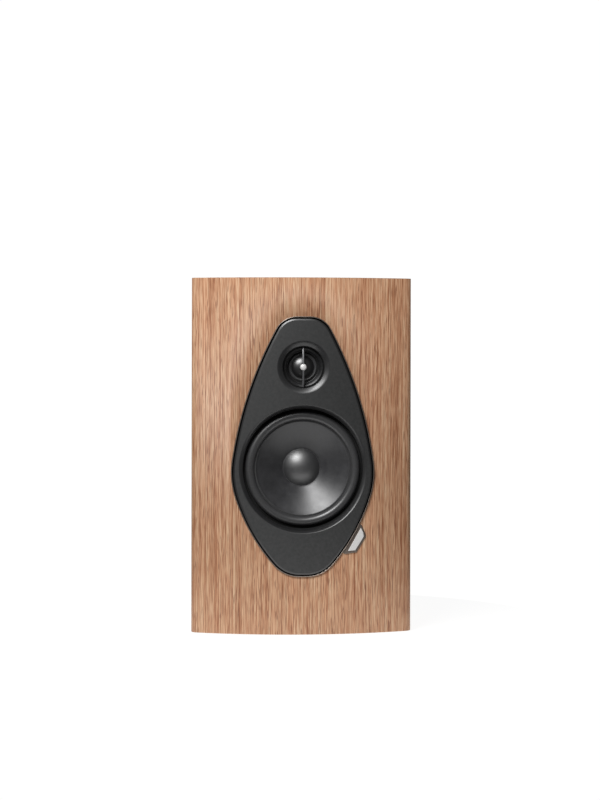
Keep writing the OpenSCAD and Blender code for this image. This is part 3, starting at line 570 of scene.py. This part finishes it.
# Each has a dark and a light tone (0 to 255) and a range of roughness; scales are per metre
FINISHES = {
    "walnut_veneer": walnut("walnut_upright", "Z"),
    "walnut_lid": walnut("walnut_lid", "Y"),
    "plate_leather": leather_plate(),
    "cone_paper": cone_paper(),
    "mdf": speckled("mdf", (176, 140, 100), (202, 168, 128), 700, (0.75, 0.9), 0.05),
    "black_board": speckled("black_board", (26, 26, 27), (42, 42, 43), 420, (0.5, 0.68), 0.08,
                            1300),
    "trim_metal": satin_metal("trim_metal", (134, 122, 114), (160, 148, 138), (0.34, 0.44), 900.0,
                              metallic=0.8),
    "bar_metal": satin_metal("bar_metal", (168, 168, 170), (182, 182, 184), (0.38, 0.42), 900.0),
    # tab_metal: near-white with little metalness, a light metal whose whiteness is partly a painted
    # highlight, on the tab's face and the tweeter's tip
    "tab_metal": satin_metal("tab_metal", (236, 234, 232), (246, 245, 244), (0.36, 0.46), 700.0,
                             metallic=0.15),
    "rubber_black": speckled("rubber_black", (52, 52, 53), (64, 64, 65), 600, (0.36, 0.42), 0.01,
                             IOR=1.85),
    # gap_black: near-black painted shade for deep gaps, grooves and recess walls, standing in for
    # the dark that falls there
    "gap_black": speckled("gap_black", (6, 6, 6), (12, 12, 12), 500, (0.8, 0.9), 0.02),
    "cap_black": speckled("cap_black", (26, 26, 28), (36, 36, 38), 160, (0.45, 0.48), 0.002, 900,
                          IOR=2.6),
    "flare_satin": speckled("flare_satin", (24, 24, 25), (32, 32, 33), 500, (0.37, 0.43), 0.006,
                            IOR=1.85),
    "basket_metal": speckled("basket_metal", (30, 30, 31), (48, 48, 49), 900, (0.45, 0.6), 0.05),
    "steel": satin_metal("steel", (150, 150, 152), (186, 186, 188), (0.3, 0.45), 500.0),
    "ferrite": speckled("ferrite", (58, 58, 60), (80, 80, 82), 300, (0.55, 0.75), 0.05),
    "copper": winding("copper", "Y", (120, 58, 34), (208, 118, 74)),
    "copper_upright": winding("copper_upright", "Z", (120, 58, 34), (208, 118, 74)),
    "former_film": speckled("former_film", (170, 104, 40), (200, 134, 60), 120, (0.25, 0.35), 0.01),
    "spider_cloth": woven("spider_cloth", (140, 108, 56), (196, 162, 102), 0.0012, (0.7, 0.85)),
    "phenolic": speckled("phenolic", (96, 58, 30), (132, 86, 50), 220, (0.4, 0.55), 0.02),
    "silk_black": speckled("silk_black", (16, 16, 17), (24, 24, 25), 900, (0.33, 0.37), 0.001,
                           IOR=2.2),
    "silk_coated": speckled("silk_coated", (60, 60, 61), (70, 70, 71), 700, (0.32, 0.38), 0.001,
                            IOR=1.7),
    "faceplate_black": speckled("faceplate_black", (24, 24, 25), (34, 34, 35), 500, (0.36, 0.46),
                                0.01),
    "black_screw": satin_metal("black_screw", (40, 40, 42), (64, 64, 66), (0.3, 0.45), 900.0),
    "gold_plate": satin_metal("gold_plate", (206, 168, 92), (232, 200, 128), (0.16, 0.28), 700.0),
    "board_green": speckled("board_green", (20, 78, 42), (34, 104, 58), 180, (0.3, 0.42), 0.02),
    "film_red": speckled("film_red", (150, 26, 24), (184, 44, 38), 200, (0.22, 0.32), 0.02),
    "ceramic_white": speckled("ceramic_white", (200, 198, 188), (226, 224, 214), 800, (0.7, 0.85),
                              0.08),
    "nylon": speckled("nylon", (206, 204, 194), (226, 224, 214), 300, (0.4, 0.5), 0.01),
    "wire_red": speckled("wire_red", (168, 26, 24), (196, 44, 38), 400, (0.38, 0.48), 0.01),
    "wire_blue": speckled("wire_blue", (30, 42, 130), (46, 60, 160), 400, (0.38, 0.48), 0.01),
    "wire_grey": speckled("wire_grey", (160, 160, 160), (188, 188, 188), 400, (0.38, 0.48), 0.01),
    "foam": speckled("foam", (44, 44, 46), (84, 84, 86), 900, (0.85, 0.95), 0.5, 1100),
    "cup_black": speckled("cup_black", (26, 26, 27), (38, 38, 39), 700, (0.42, 0.55), 0.03, 2200),
    "nut_red": speckled("nut_red", (150, 14, 14), (186, 26, 22), 200, (0.15, 0.24), 0.005,
                        Coat_Weight=0.4),
    "nut_black": speckled("nut_black", (20, 20, 21), (30, 30, 31), 200, (0.15, 0.24), 0.005,
                          Coat_Weight=0.4),
}

for part in frame["record"]["subparts"]:
    node = frame["nodes"][part["node"]]
    node.data.materials.clear()
    stands = part["node"] in ("woofer_inductor", "tweeter_inductor")
    node.data.materials.append(FINISHES["copper_upright" if stands else part["material_slot"]])


# ---- Walnut veneer: the bow, the two sides and the lid ----

def plate_edge(inset):
    """Where the wood's columns meet the outline: upper and lower (x, z, nx, nz), left to right."""
    count, fine = 90, (400,) * 5
    half = plate_half(inset, fine)
    wide = max(range(len(half)), key=lambda i: half[i][0])
    upper, lower = np.array(half[:wide + 1]), np.array(half[wide:][::-1])
    reach = upper[-1][0]
    rows = []
    for table, side in ((upper, 1.0), (lower, -1.0)):
        row = []
        for k in range(-count, count + 1):
            x = reach * sin(k * pi / 2 / count)
            z, nx, nz = (float(np.interp(abs(x), table[:, 0], table[:, i]))
                         for i in (1, 2, 3))
            if abs(x) < table[0][0]:
                nx, nz = 0.0, side
            row.append((x, z, nx * (1 if x >= 0 else -1), nz))
        rows.append(row)
    return rows


def wood_wrap():
    """The veneer round the sides and the front, open where the plate stands in it."""
    ease = 0.3
    mesh = Mesh()
    upper, lower = plate_edge(-ease)
    count = len(upper)
    reach = upper[-1][0]
    side = plan_half(0.0, x_from=reach)[1:]
    front = [(x, FRONT_CY - sqrt(FRONT_R ** 2 - x * x), x / FRONT_R,
              -sqrt(1 - (x / FRONT_R) ** 2)) for x, _, _, _ in upper]
    columns = [(-x, y, -nx, ny) for x, y, nx, ny in reversed(side)] + front + side
    first = len(side)
    foot = []
    for rise, inset in ((0.0, 0.35), (0.1, 0.12), (0.4, 0.0)):
        foot.append(mesh.add([(x - nx * inset, y - ny * inset, WOOD_Z0 + rise)
                              for x, y, nx, ny in columns]))
    for a, b in zip(foot, foot[1:]):
        mesh.skin(a, b, closed=False)
    low, high = foot[-1], mesh.add([(x, y, WOOD_Z1) for x, y, _, _ in columns])
    top = mesh.add([bowed(x, z, FRONT_R) for x, z, _, _ in upper])
    bottom = mesh.add([bowed(x, z, FRONT_R) for x, z, _, _ in lower[1:-1]])
    bottom = [top[0]] + bottom + [top[-1]]
    for i in range(len(columns) - 1):
        k = i - first
        if 0 <= k < count - 1:
            mesh.faces.append((top[k], top[k + 1], high[i + 1], high[i]))
            mesh.faces.append((low[i], low[i + 1], bottom[k + 1], bottom[k]))
        elif k == -1:
            mesh.faces.append((low[i], low[i + 1], top[0], high[i + 1], high[i]))
        elif k == count - 1:
            mesh.faces.append((low[i], low[i + 1], high[i + 1], high[i], top[-1]))
        else:
            mesh.faces.append((low[i], low[i + 1], high[i + 1], high[i]))
    rim = upper + lower[-2:0:-1]
    rings = [top + bottom[-2:0:-1]]
    for inset, drop in ((ease * 0.65, 0.1), (ease, 0.35), (ease, 3.0)):
        rings.append(mesh.add([bowed(x - nx * inset, z - nz * inset, FRONT_R - drop)
                               for x, z, nx, nz in rim]))
    for a, b in zip(rings, rings[1:]):
        mesh.skin(a, b)
    obj = piece("walnut_wrap", mesh, "cabinet", ["veneer_wrap"], FINISHES["walnut_veneer"])
    thick = obj.modifiers.new("thickness", "SOLIDIFY")
    thick.thickness = VENEER * MM
    thick.offset = -1.0


def wood_lid():
    mesh = Mesh()
    eased = [plan_loop(inset, HEIGHT - drop)
             for inset, drop in ((0.0, 0.42), (0.06, 0.2), (0.2, 0.06), (0.42, 0.0))]
    rings = mesh.loft([plan_loop(0.0, WOOD_Z1)] + eased)
    mesh.cap(rings[0])
    mesh.cap(rings[-1])
    obj = piece("walnut_lid", mesh, "cabinet", ["veneer_top"], FINISHES["walnut_lid"])


# ---- Driver plate, trim and tab ----

def opening(mesh, z, rim_r, edge_r, edge_y, throat_r, recess_r, recess_y, ease, hollow, steps):
    """One driver opening, from the face back to the rear of the plate.

    A horn leads from the circle rim_r + ease on the bow to edge_r at depth edge_y; hollow is how
    far inwards its curve has turned by the time that it dives. A step then leads to the throat,
    and the recess for the driver's flange opens behind it; the step, throat and recess take
    near-black gap_black as painted shade in the deep opening.
    """
    rim, bend_depth, horn_steps = rim_r + ease, 0.1, 12
    circle = [(sin(2 * pi * i / steps), cos(2 * pi * i / steps)) for i in range(steps)]

    def on_face(r):
        return [bowed(r * s, z + r * c, FACE_R) for s, c in circle]

    def flat(r, y):
        return [(r * s, y, z + r * c) for s, c in circle]

    corner, edge = on_face(rim_r), flat(edge_r, edge_y)
    bend = [(a[0] * (1 - hollow) + b[0] * hollow, a[1] + bend_depth * (b[1] - a[1]),
             a[2] * (1 - hollow) + b[2] * hollow) for a, b in zip(corner, edge)]
    horns = [bezier(p, q, e, horn_steps) for p, q, e in zip(on_face(rim), bend, edge)]
    face = [on_face(rim + 1.2), on_face(rim + 0.3), [h[0] for h in horns]]
    rings = mesh.loft(face)
    mesh.use(2)
    mesh.loft([[h[k] for h in horns] for k in range(horn_steps + 1)])
    # The step, throat and recess walls: near-black painted shade where the opening is deep
    mesh.use(1)
    step = edge_r - throat_r
    wall = mesh.loft([edge, flat(edge_r - 0.7 * step, edge_y + 0.4 * step),
                      flat(throat_r, edge_y + 1.4 * step), flat(throat_r, recess_y),
                      flat(recess_r, recess_y), flat(recess_r, POCKET_Y)])
    mesh.use(0)
    outer = [(x, zz) for x, _, zz in face[0]]
    back = [(recess_r * s, z + recess_r * c) for s, c in circle]
    return (outer, rings[0]), (back, wall[-1])


def driver_plate():
    # Insets of the plate's side under the trim, of its wall, and of where its face begins
    side, wall, flat = 1.3, 3.0, 5.6
    # Inset of the rolled edge, and how far below the face
    roll = [(wall, 1.1), (3.1, 0.8), (3.9, 0.4), (4.7, 0.07)]
    face_grid, back_grid = 4.0, 12.0

    def below_face(inset, drop):
        return bow_loop(inset, FACE_R - drop)

    mesh = Mesh()
    # The side under the trim, the groove's floor and the wall up to the rolled edge: near-black
    # painted shade in the groove
    mesh.use(1)
    foot = mesh.loft([flat_loop(side, POCKET_Y), bow_loop(side, GROOVE_R),
                      bow_loop(wall, GROOVE_R), below_face(*roll[0])])
    mesh.use(2)
    mesh.loft([below_face(*point) for point in roll])
    mesh.use(0)
    rings = mesh.loft([below_face(*roll[-1]), below_face(4.95, 0.0), below_face(flat, 0.0)])
    holes = [opening(mesh, WOOFER_Z, rim_r=78.8, edge_r=74.5, edge_y=-83.7, throat_r=WOOFER_R,
                     recess_r=83.1, recess_y=-78.0, ease=0.4, hollow=0.45, steps=200),
             opening(mesh, TWEETER_Z, rim_r=32.1, edge_r=26.3, edge_y=-91.3, throat_r=TWEETER_R,
                     recess_r=36.6, recess_y=-75.5, ease=0.5, hollow=0.35, steps=128)]
    mesh.fill((plate_loop(flat), rings[-1]), [h[0] for h in holes], face_grid,
              lambda x, z: bowed(x, z, FACE_R))
    mesh.use(1)
    mesh.fill((plate_loop(side), foot[0]), [h[1] for h in holes], back_grid,
              lambda x, z: (x, POCKET_Y, z))
    obj = piece("driver_plate", mesh, "cabinet", ["baffle_insert"], FINISHES["plate_leather"])


def trim_band():
    # Inset, and how far below the crest, from the outside across to the groove
    section = [(0.05, 0.5), (0.12, 0.2), (0.32, 0.03), (0.6, 0.0), (0.88, 0.03), (1.1, 0.2),
               (1.18, 0.5)]
    outside, groove = section[0][0], section[-1]
    mesh = Mesh()
    rings = mesh.loft([flat_loop(outside, POCKET_Y)]
                      + [bow_loop(inset, TRIM_R - drop) for inset, drop in section])
    # The trim's wall on the groove side: near-black painted shade in the groove
    mesh.use(1)
    wall = mesh.loft([bow_loop(groove[0], TRIM_R - groove[1]), flat_loop(groove[0], POCKET_Y)])
    mesh.skin(wall[-1], rings[0])
    obj = piece("trim_band", mesh, "cabinet", ["trim_frame"], FINISHES["trim_metal"])


def inset_polygon(points, d):
    """A convex polygon, listed clockwise or not, with every side moved in by d."""
    area = sum(a[0] * b[1] - b[0] * a[1] for a, b in zip(points, points[1:] + points[:1]))
    sign = 1.0 if area > 0 else -1.0
    lines = []
    for a, b in zip(points, points[1:] + points[:1]):
        length = hypot(b[0] - a[0], b[1] - a[1])
        nx, ny = -(b[1] - a[1]) / length * sign, (b[0] - a[0]) / length * sign
        lines.append((nx, ny, nx * a[0] + ny * a[1] + d))
    out = []
    for (a0, b0, c0), (a1, b1, c1) in zip([lines[-1]] + lines[:-1], lines):
        det = a0 * b1 - a1 * b0
        out.append(((c0 * b1 - c1 * b0) / det, (a0 * c1 - a1 * c0) / det))
    return out


def metal_tab():
    """The tab at the lower right: a base laid against the trim, and a raised face. The face's
    near-white is partly a light metal and partly a painted highlight; its sides take the darker
    trim metal as painted shade.
    """
    rim = [(z, x) for x, z, _, _ in reversed(plate_half(-0.1))]

    def beside_trim(z):
        return (float(np.interp(z, [p[0] for p in rim], [p[1] for p in rim])), z)

    corners = [beside_trim(136.4), (73, 134.4), (77.2, 125), (78, 120.3), (66.4, 101.6),
               (52.4, 99.6)]
    corners += [beside_trim(z) for z in (101.4, 113.0, 125.0)]
    face = [(71.6, 131.6), (74.6, 125.6), (75.3, 121.0), (64.6, 104.2), (55.4, 103.6)]
    face_edge = TRIM_R - 0.12

    def ring(points, inset, r):
        return [bowed(x, z, r) for x, z in inset_polygon(points, inset)]

    mesh = Mesh()
    # Base and the raised face's sides take trim_metal; on the sides this darker tone is painted
    # shade round the lit face
    mesh.use(1)
    base = mesh.loft([ring(corners, inset, FRONT_R + rise)
                      for inset, rise in ((0.0, -0.5), (0.0, 0.7), (0.25, 0.95), (0.6, 1.0))])
    mesh.cap(base[0])
    mesh.cap(base[-1])
    foot = mesh.loft([ring(face, -0.5, FRONT_R + 0.9), ring(face, -0.45, FRONT_R + 1.0),
                      ring(face, 0.0, face_edge)])
    mesh.cap(foot[0])
    # The face takes tab_metal: near-white, partly a painted highlight
    mesh.use(0)
    top = mesh.loft([ring(face, 0.0, face_edge), ring(face, 0.25, TRIM_R)])
    mesh.cap(top[-1])
    obj = piece("metal_tab", mesh, "cabinet", ["badge_plate"], FINISHES["tab_metal"], angle=12,
                others=("trim_metal",))


# ---- Mid-woofer ----

# The cone's edge, neck, depth and how fast it steepens; the roll of its surround; and the lip
# that is glued to the basket's flange
CONE_Y, CONE_EDGE_R, CONE_NECK_R, CONE_DEPTH, CONE_POWER = -75.4, 59.4, 16.7, 27.0, 1.12
ROLL_IN, ROLL_OUT = 59.6, 71.2
LIP_OUT, LIP_Y, FLANGE_Y = 74.1, -76.0, -75.0


def cone_y(r):
    t = (CONE_EDGE_R - r) / (CONE_EDGE_R - CONE_NECK_R)
    return CONE_Y + CONE_DEPTH * max(t, 0.0) ** CONE_POWER


def bend_radially(obj):
    """Bakes the object's transform into its mesh.
    """
    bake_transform(obj)
    obj.data.update()


def half_roll(mid, r, y, steps):
    """Half a circle in front of y, from its inner end to its outer."""
    return [(mid - r * cos(pi * i / steps), y - r * sin(pi * i / steps))
            for i in range(steps + 1)]


def woofer_surround():
    mid, r, thick, steps = (ROLL_IN + ROLL_OUT) / 2, (ROLL_OUT - ROLL_IN) / 2, 0.8, 28
    lap = ROLL_IN - 2.2
    outer = half_roll(mid, r, LIP_Y, steps)
    inner = half_roll(mid, r - thick, LIP_Y + 0.2, steps)[::-1]
    profile = ([(lap, cone_y(lap) - 0.05), (lap, CONE_Y - 0.5), (ROLL_IN - 1.9, CONE_Y - 0.75),
                (ROLL_IN - 0.6, LIP_Y - 0.1)] + outer
               + [(ROLL_OUT + 0.6, LIP_Y - 0.08), (LIP_OUT - 0.4, LIP_Y), (LIP_OUT, LIP_Y + 0.3),
                  (LIP_OUT, FLANGE_Y), (ROLL_OUT - thick, FLANGE_Y)] + inner
               + [(ROLL_IN + thick, CONE_Y)])
    mesh = Mesh()
    # From the roll's outer foot across the lip: near-black painted shade in the deep gap between
    # roll and flare
    dark = (len(outer) + 2, len(outer) + 9)
    mesh.turned(profile, WOOFER_Z, steps=192, dark=dark)
    obj = piece("rubber_surround", mesh, None, ["woofer_surround"], FINISHES["rubber_black"])
    bend_radially(obj)


def cone():
    """A thin cone, raised where the surround is glued on, with two faint ripples."""
    raised_r, raised, run, thick, steps = 56.6, 0.22, 0.8, 0.8, 60
    ripple_in, ripple_out, ripple, ripples = 22, 56, 0.04, 2
    front = []
    for i in range(steps + 1):
        r = CONE_EDGE_R - (CONE_EDGE_R - CONE_NECK_R) * i / steps
        step = raised * min(max(1 - (raised_r - r) / run, 0.0), 1.0)
        wave = 0.0
        if ripple_in < r < ripple_out:
            wave = ripple * sin((r - ripple_in) / (ripple_out - ripple_in) * 2 * pi * ripples)
        front.append((r, cone_y(r) - step + wave))
    back = [(r, cone_y(r) + thick) for r in np.linspace(CONE_NECK_R, CONE_EDGE_R, 30)]
    mesh = Mesh()
    mesh.turned(front + back, WOOFER_Z, steps=192)
    obj = piece("pulp_cone", mesh, "woofer_cone_body", ["woofer_cone"], FINISHES["cone_paper"])


def sphere_cap(radius, height, rim_y, thick, lip=0.0):
    """Closed profile of a shallow dome, with an optional flat lip round its rim."""
    steps = 32
    ball = (radius ** 2 + height ** 2) / (2 * height)
    half = asin(radius / ball)

    def shell(r):
        return [(r * sin(half * i / steps), rim_y - height + ball - r * cos(half * i / steps))
                for i in range(steps + 1)]

    rim = [(radius + lip * 0.6, rim_y + 0.05), (radius + lip, rim_y + 0.3)] if lip else []
    return shell(ball) + rim + shell(ball - thick)[::-1]


def dust_cap():
    radius = 22.9
    mesh = Mesh()
    mesh.turned(sphere_cap(radius, height=10.2, rim_y=cone_y(radius) - 0.3, thick=0.5, lip=0.5),
                WOOFER_Z)
    obj = piece("pressed_dust_cap", mesh, "woofer_cone_body", ["dust_cap"], FINISHES["cap_black"])


def spider():
    inner_r, outer_r, y, thick, steps = 16.75, 52.5, -36.0, 0.7, 120
    wave_in, wave_out, height, waves = 20.0, 46.0, 1.4, 4

    def wave(r):
        if not wave_in <= r <= wave_out:
            return 0.0
        return height * sin((r - wave_in) / (wave_out - wave_in) * 2 * pi * waves)

    radii = [inner_r + (outer_r - inner_r) * i / steps for i in range(steps + 1)]
    profile = ([(r, y + wave(r)) for r in radii]
               + [(r, y + thick + wave(r)) for r in reversed(radii)])
    mesh = Mesh()
    mesh.turned(profile, WOOFER_Z)
    obj = piece("corrugated_spider", mesh, None, ["spider"], FINISHES["spider_cloth"])
    bend_radially(obj)


def tinsel_leads():
    """The two braids from the strip to the back of the cone."""
    source = frame["nodes"]["tinsel_leads"]
    data = source.data.copy()
    data.transform(source.matrix_world)
    obj = bpy.data.objects.new("copper_braids", data)
    bpy.context.scene.collection.objects.link(obj)
    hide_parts("tinsel_leads")
    bend_radially(obj)


# ---- Tweeter ----

# The faceplate's rim and hub, its bore, and the seat and plane of the dome
TW_RIM_Y, TW_HUB_R, TW_BORE_R = -83.2, 25.1, 19.1
TW_SEAT_R, TW_DOME_Y = 17.2, -76.5


def tweeter_faceplate():
    flange_r, flange_y, dish_y, steps = 36.0, -74.0, TW_RIM_Y + 3.7, 14
    dish_out, dish_in = TW_HUB_R - 1.0, TW_BORE_R + 0.4
    dish = []
    for i in range(steps + 1):
        t = i / steps
        dish.append((dish_out - (dish_out - dish_in) * t,
                     TW_RIM_Y + (dish_y - TW_RIM_Y) * t ** 1.6))
    profile = ([(TW_SEAT_R, POCKET_Y), (flange_r, POCKET_Y), (flange_r, flange_y),
                (TW_HUB_R, flange_y), (TW_HUB_R, TW_RIM_Y + 0.45),
                (TW_HUB_R - 0.12, TW_RIM_Y + 0.15), (TW_HUB_R - 0.4, TW_RIM_Y)]
               + dish + [(TW_BORE_R + 0.1, dish_y + 0.1), (TW_BORE_R, dish_y + 0.4),
                         (TW_BORE_R, TW_DOME_Y), (TW_SEAT_R, TW_DOME_Y)])
    mesh = Mesh()
    mesh.turned(profile, TWEETER_Z)
    obj = piece("tweeter_dish", mesh, "cabinet", ["tweeter_faceplate"],
                FINISHES["faceplate_black"])


def tweeter_dome():
    mesh = Mesh()
    mesh.turned(sphere_cap(14.3, height=5.2, rim_y=TW_DOME_Y, thick=0.3), TWEETER_Z)
    obj = piece("silk_dome", mesh, "tweeter_dome_body", ["tweeter_dome"], FINISHES["silk_black"])


def tweeter_surround():
    low, high, thick, steps = 15.1, 17.2, 0.25, 16
    dome_edge, seat_edge = 14.32, 19.0
    mid, r = (low + high) / 2, (high - low) / 2
    y = TW_DOME_Y - thick
    outer = half_roll(mid, r, y, steps)
    inner = half_roll(mid, r - thick, y, steps)[::-1]
    profile = ([(dome_edge, y + thick), (dome_edge, y)] + outer
               + [(high + 0.3, y), (seat_edge, y), (seat_edge, y + thick),
                  (high - thick, y + thick)]
               + inner + [(low + thick, y + thick)])
    mesh = Mesh()
    # The flat flange outside the roll: near-black painted shade between the roll and the bore
    mesh.turned(profile, TWEETER_Z, steps=192, dark=(len(outer) + 2, len(outer) + 5))
    obj = piece("silk_surround", mesh, None, ["tweeter_surround"], FINISHES["silk_coated"])
    bend_radially(obj)


def phase_bar():
    """An arched bar with a rounded front, and a polished round tip in front of the dome."""
    reach, half_w, back_y, front_y, rise, steps = 24.6, 1.3, -83.2, -87.2, 2.6, 48
    section = rounded([(-half_w, back_y), (half_w, back_y), (half_w, front_y), (-half_w, front_y)],
                      [0.15, 0.15, 1.1, 1.1], 6)
    mesh = Mesh()
    loops = []
    for i in range(steps + 1):
        z = -reach + 2 * reach * i / steps
        arch = rise * (1 - (z / reach) ** 2)
        loops.append([(x, y - arch, TWEETER_Z + z) for x, y in section])
    rings = mesh.loft(loops)
    mesh.cap(rings[0])
    mesh.cap(rings[-1])
    tip_r, tip_back, ball_y, flatness = 3.9, -82.8, -89.3, 0.5
    tip = [(0.0, tip_back), (tip_r - 0.3, tip_back), (tip_r, tip_back - 0.3)]
    tip += [(tip_r * cos(radians(a)), ball_y - flatness * tip_r * sin(radians(a)))
            for a in range(0, 90, 5)]
    tip.append((0.0, ball_y - flatness * tip_r))
    # The tip takes tab_metal: near-white, partly a painted highlight of the polished ball
    mesh.use(1)
    mesh.turned(tip, TWEETER_Z, steps=64)
    obj = piece("tweeter_bar", mesh, "cabinet", ["phase_bar"], FINISHES["bar_metal"],
                others=("tab_metal",))


# ---- Rear and small parts ----

PORT_Z = 350.0
POST_X, POST_Z = 14.0, 92.0


def port_tube():
    inner, outer, lip, flare, front_y = 25.0, 27.5, 42.0, 11.0, -12.0
    curve = [(inner + flare * (1 - cos(radians(a))), REAR_Y - flare + flare * sin(radians(a)))
             for a in range(0, 95, 5)]
    profile = ([(outer, front_y), (inner + 0.8, front_y), (inner, front_y + 0.8)] + curve
               + [(lip - 0.8, REAR_Y), (lip - 0.2, REAR_Y - 0.2), (lip, REAR_Y - 0.8),
                  (lip, REAR_Y - 3.0), (lip - 3, REAR_Y - 3.0), (outer, REAR_Y - 13.0)])
    mesh = Mesh()
    mesh.turned(profile, PORT_Z, steps=144)
    obj = piece("flared_port", mesh, "cabinet", ["port_tube"], FINISHES["cup_black"])


def clamp_cap(colour, x):
    """Fluted finger nut with an eased rim, open through its middle."""
    y0, y1, r, hole = 80.5, 91.0, 7.5, 4.2
    flutes, flute_depth, flute_r = 14, 0.62, 6.4

    def flute(radius, y, a):
        if radius < flute_r:
            return radius
        depth = min(max((y - y0 - 1.5) / 1.2, 0.0), 1.0)
        return radius - flute_depth * depth * max(0.0, cos(flutes * a)) ** 2

    profile = [(hole, y0), (r - 0.25, y0), (r, y0 + 0.25)]
    profile += [(r, y0 + 1.4 + 0.4 * i) for i in range(5)]
    profile += [(r, y1 - 1.2), (r - 0.12, y1 - 0.7), (r - 0.45, y1 - 0.25), (r - 1.0, y1),
                (hole + 0.9, y1), (hole + 0.4, y1 - 0.15), (hole, y1 - 0.6)]
    mesh = Mesh()
    mesh.turned(profile, POST_Z, x=x, steps=168, flute=flute)
    obj = piece("finger_nut_" + colour, mesh, "cap_%s_body" % colour, ["clamp_cap_" + colour],
                FINISHES["nut_" + colour])


for build in (wood_wrap, wood_lid, driver_plate, trim_band, metal_tab, woofer_surround, cone,
              dust_cap, spider, tinsel_leads, tweeter_faceplate, tweeter_dome, tweeter_surround,
              phase_bar, port_tube):
    build()
clamp_cap("red", POST_X)
clamp_cap("black", -POST_X)


# ---- Floor, lights and camera ----

def floor():
    """A pale round floor that glows a little, so that it reaches the white behind it."""
    mesh = bpy.data.meshes.new("floor")
    bm = bmesh.new()
    bmesh.ops.create_circle(bm, cap_ends=True, segments=96, radius=0.35)
    bm.to_mesh(mesh)
    bm.free()
    obj = bpy.data.objects.new("floor", mesh)
    bpy.context.scene.collection.objects.link(obj)
    f = Finish("pale_floor", Roughness=0.9)
    tones = [(0.3, srgb(108, 108, 108)), (0.7, srgb(112, 112, 112))]
    f.into("Base Color", f.ramp(f.noise(3.0), tones))
    f.shader.inputs["Emission Color"].default_value = (1, 1, 1, 1)
    f.shader.inputs["Emission Strength"].default_value = 0.945
    f.shader.inputs["Specular IOR Level"].default_value = 0.0
    mesh.materials.append(f.material)


def softbox(name, place, aim, size, watts):
    """A square area light at place that faces aim, in metres."""
    data = bpy.data.lights.new(name, "AREA")
    data.size = size
    data.energy = watts
    obj = bpy.data.objects.new(name, data)
    obj.location = place
    obj.rotation_euler = (Vector(aim) - Vector(place)).to_track_quat("-Z", "Y").to_euler()
    bpy.context.scene.collection.objects.link(obj)


def world():
    """White to the eye, a dim fill for everything it lights."""
    data = bpy.data.worlds.new("studio")
    bpy.context.scene.world = data
    data.use_nodes = True
    tree = data.node_tree
    tree.nodes.clear()
    out = tree.nodes.new("ShaderNodeOutputWorld")
    mix = tree.nodes.new("ShaderNodeMixShader")
    path = tree.nodes.new("ShaderNodeLightPath")
    tree.links.new(path.outputs["Is Camera Ray"], mix.inputs[0])
    fill, seen = 0.08, 1.02
    for socket, strength in ((1, fill), (2, seen)):
        white = tree.nodes.new("ShaderNodeBackground")
        white.inputs["Strength"].default_value = strength
        white.inputs["Color"].default_value = (1, 1, 1, 1)
        tree.links.new(white.outputs[0], mix.inputs[socket])
    tree.links.new(mix.outputs[0], out.inputs[0])


def camera():
    """2.4 m in front of the plate, a little to the left, looking level and slightly right."""
    place, turn_z, roll = (-0.1674, -2.4892, 0.352), radians(-3.918), radians(0.11)
    data = bpy.data.cameras.new("camera")
    data.lens = 88.1
    data.sensor_width = 36.0
    data.shift_x = -0.0013
    data.shift_y = -0.06375
    data.clip_end = 50
    obj = bpy.data.objects.new("camera", data)
    obj.matrix_world = (Matrix.Translation(place) @ Matrix.Rotation(turn_z, 4, "Z")
                        @ Matrix.Rotation(pi / 2, 4, "X") @ Matrix.Rotation(roll, 4, "Z"))
    bpy.context.scene.collection.objects.link(obj)
    bpy.context.scene.camera = obj


floor()
world()
camera()
softbox("key", place=(-0.55, -1.02, 1.34), aim=(0, -0.05, 0.3), size=0.74, watts=24.2)
view = bpy.context.scene.view_settings
view.view_transform = "Standard"
view.look = "None"
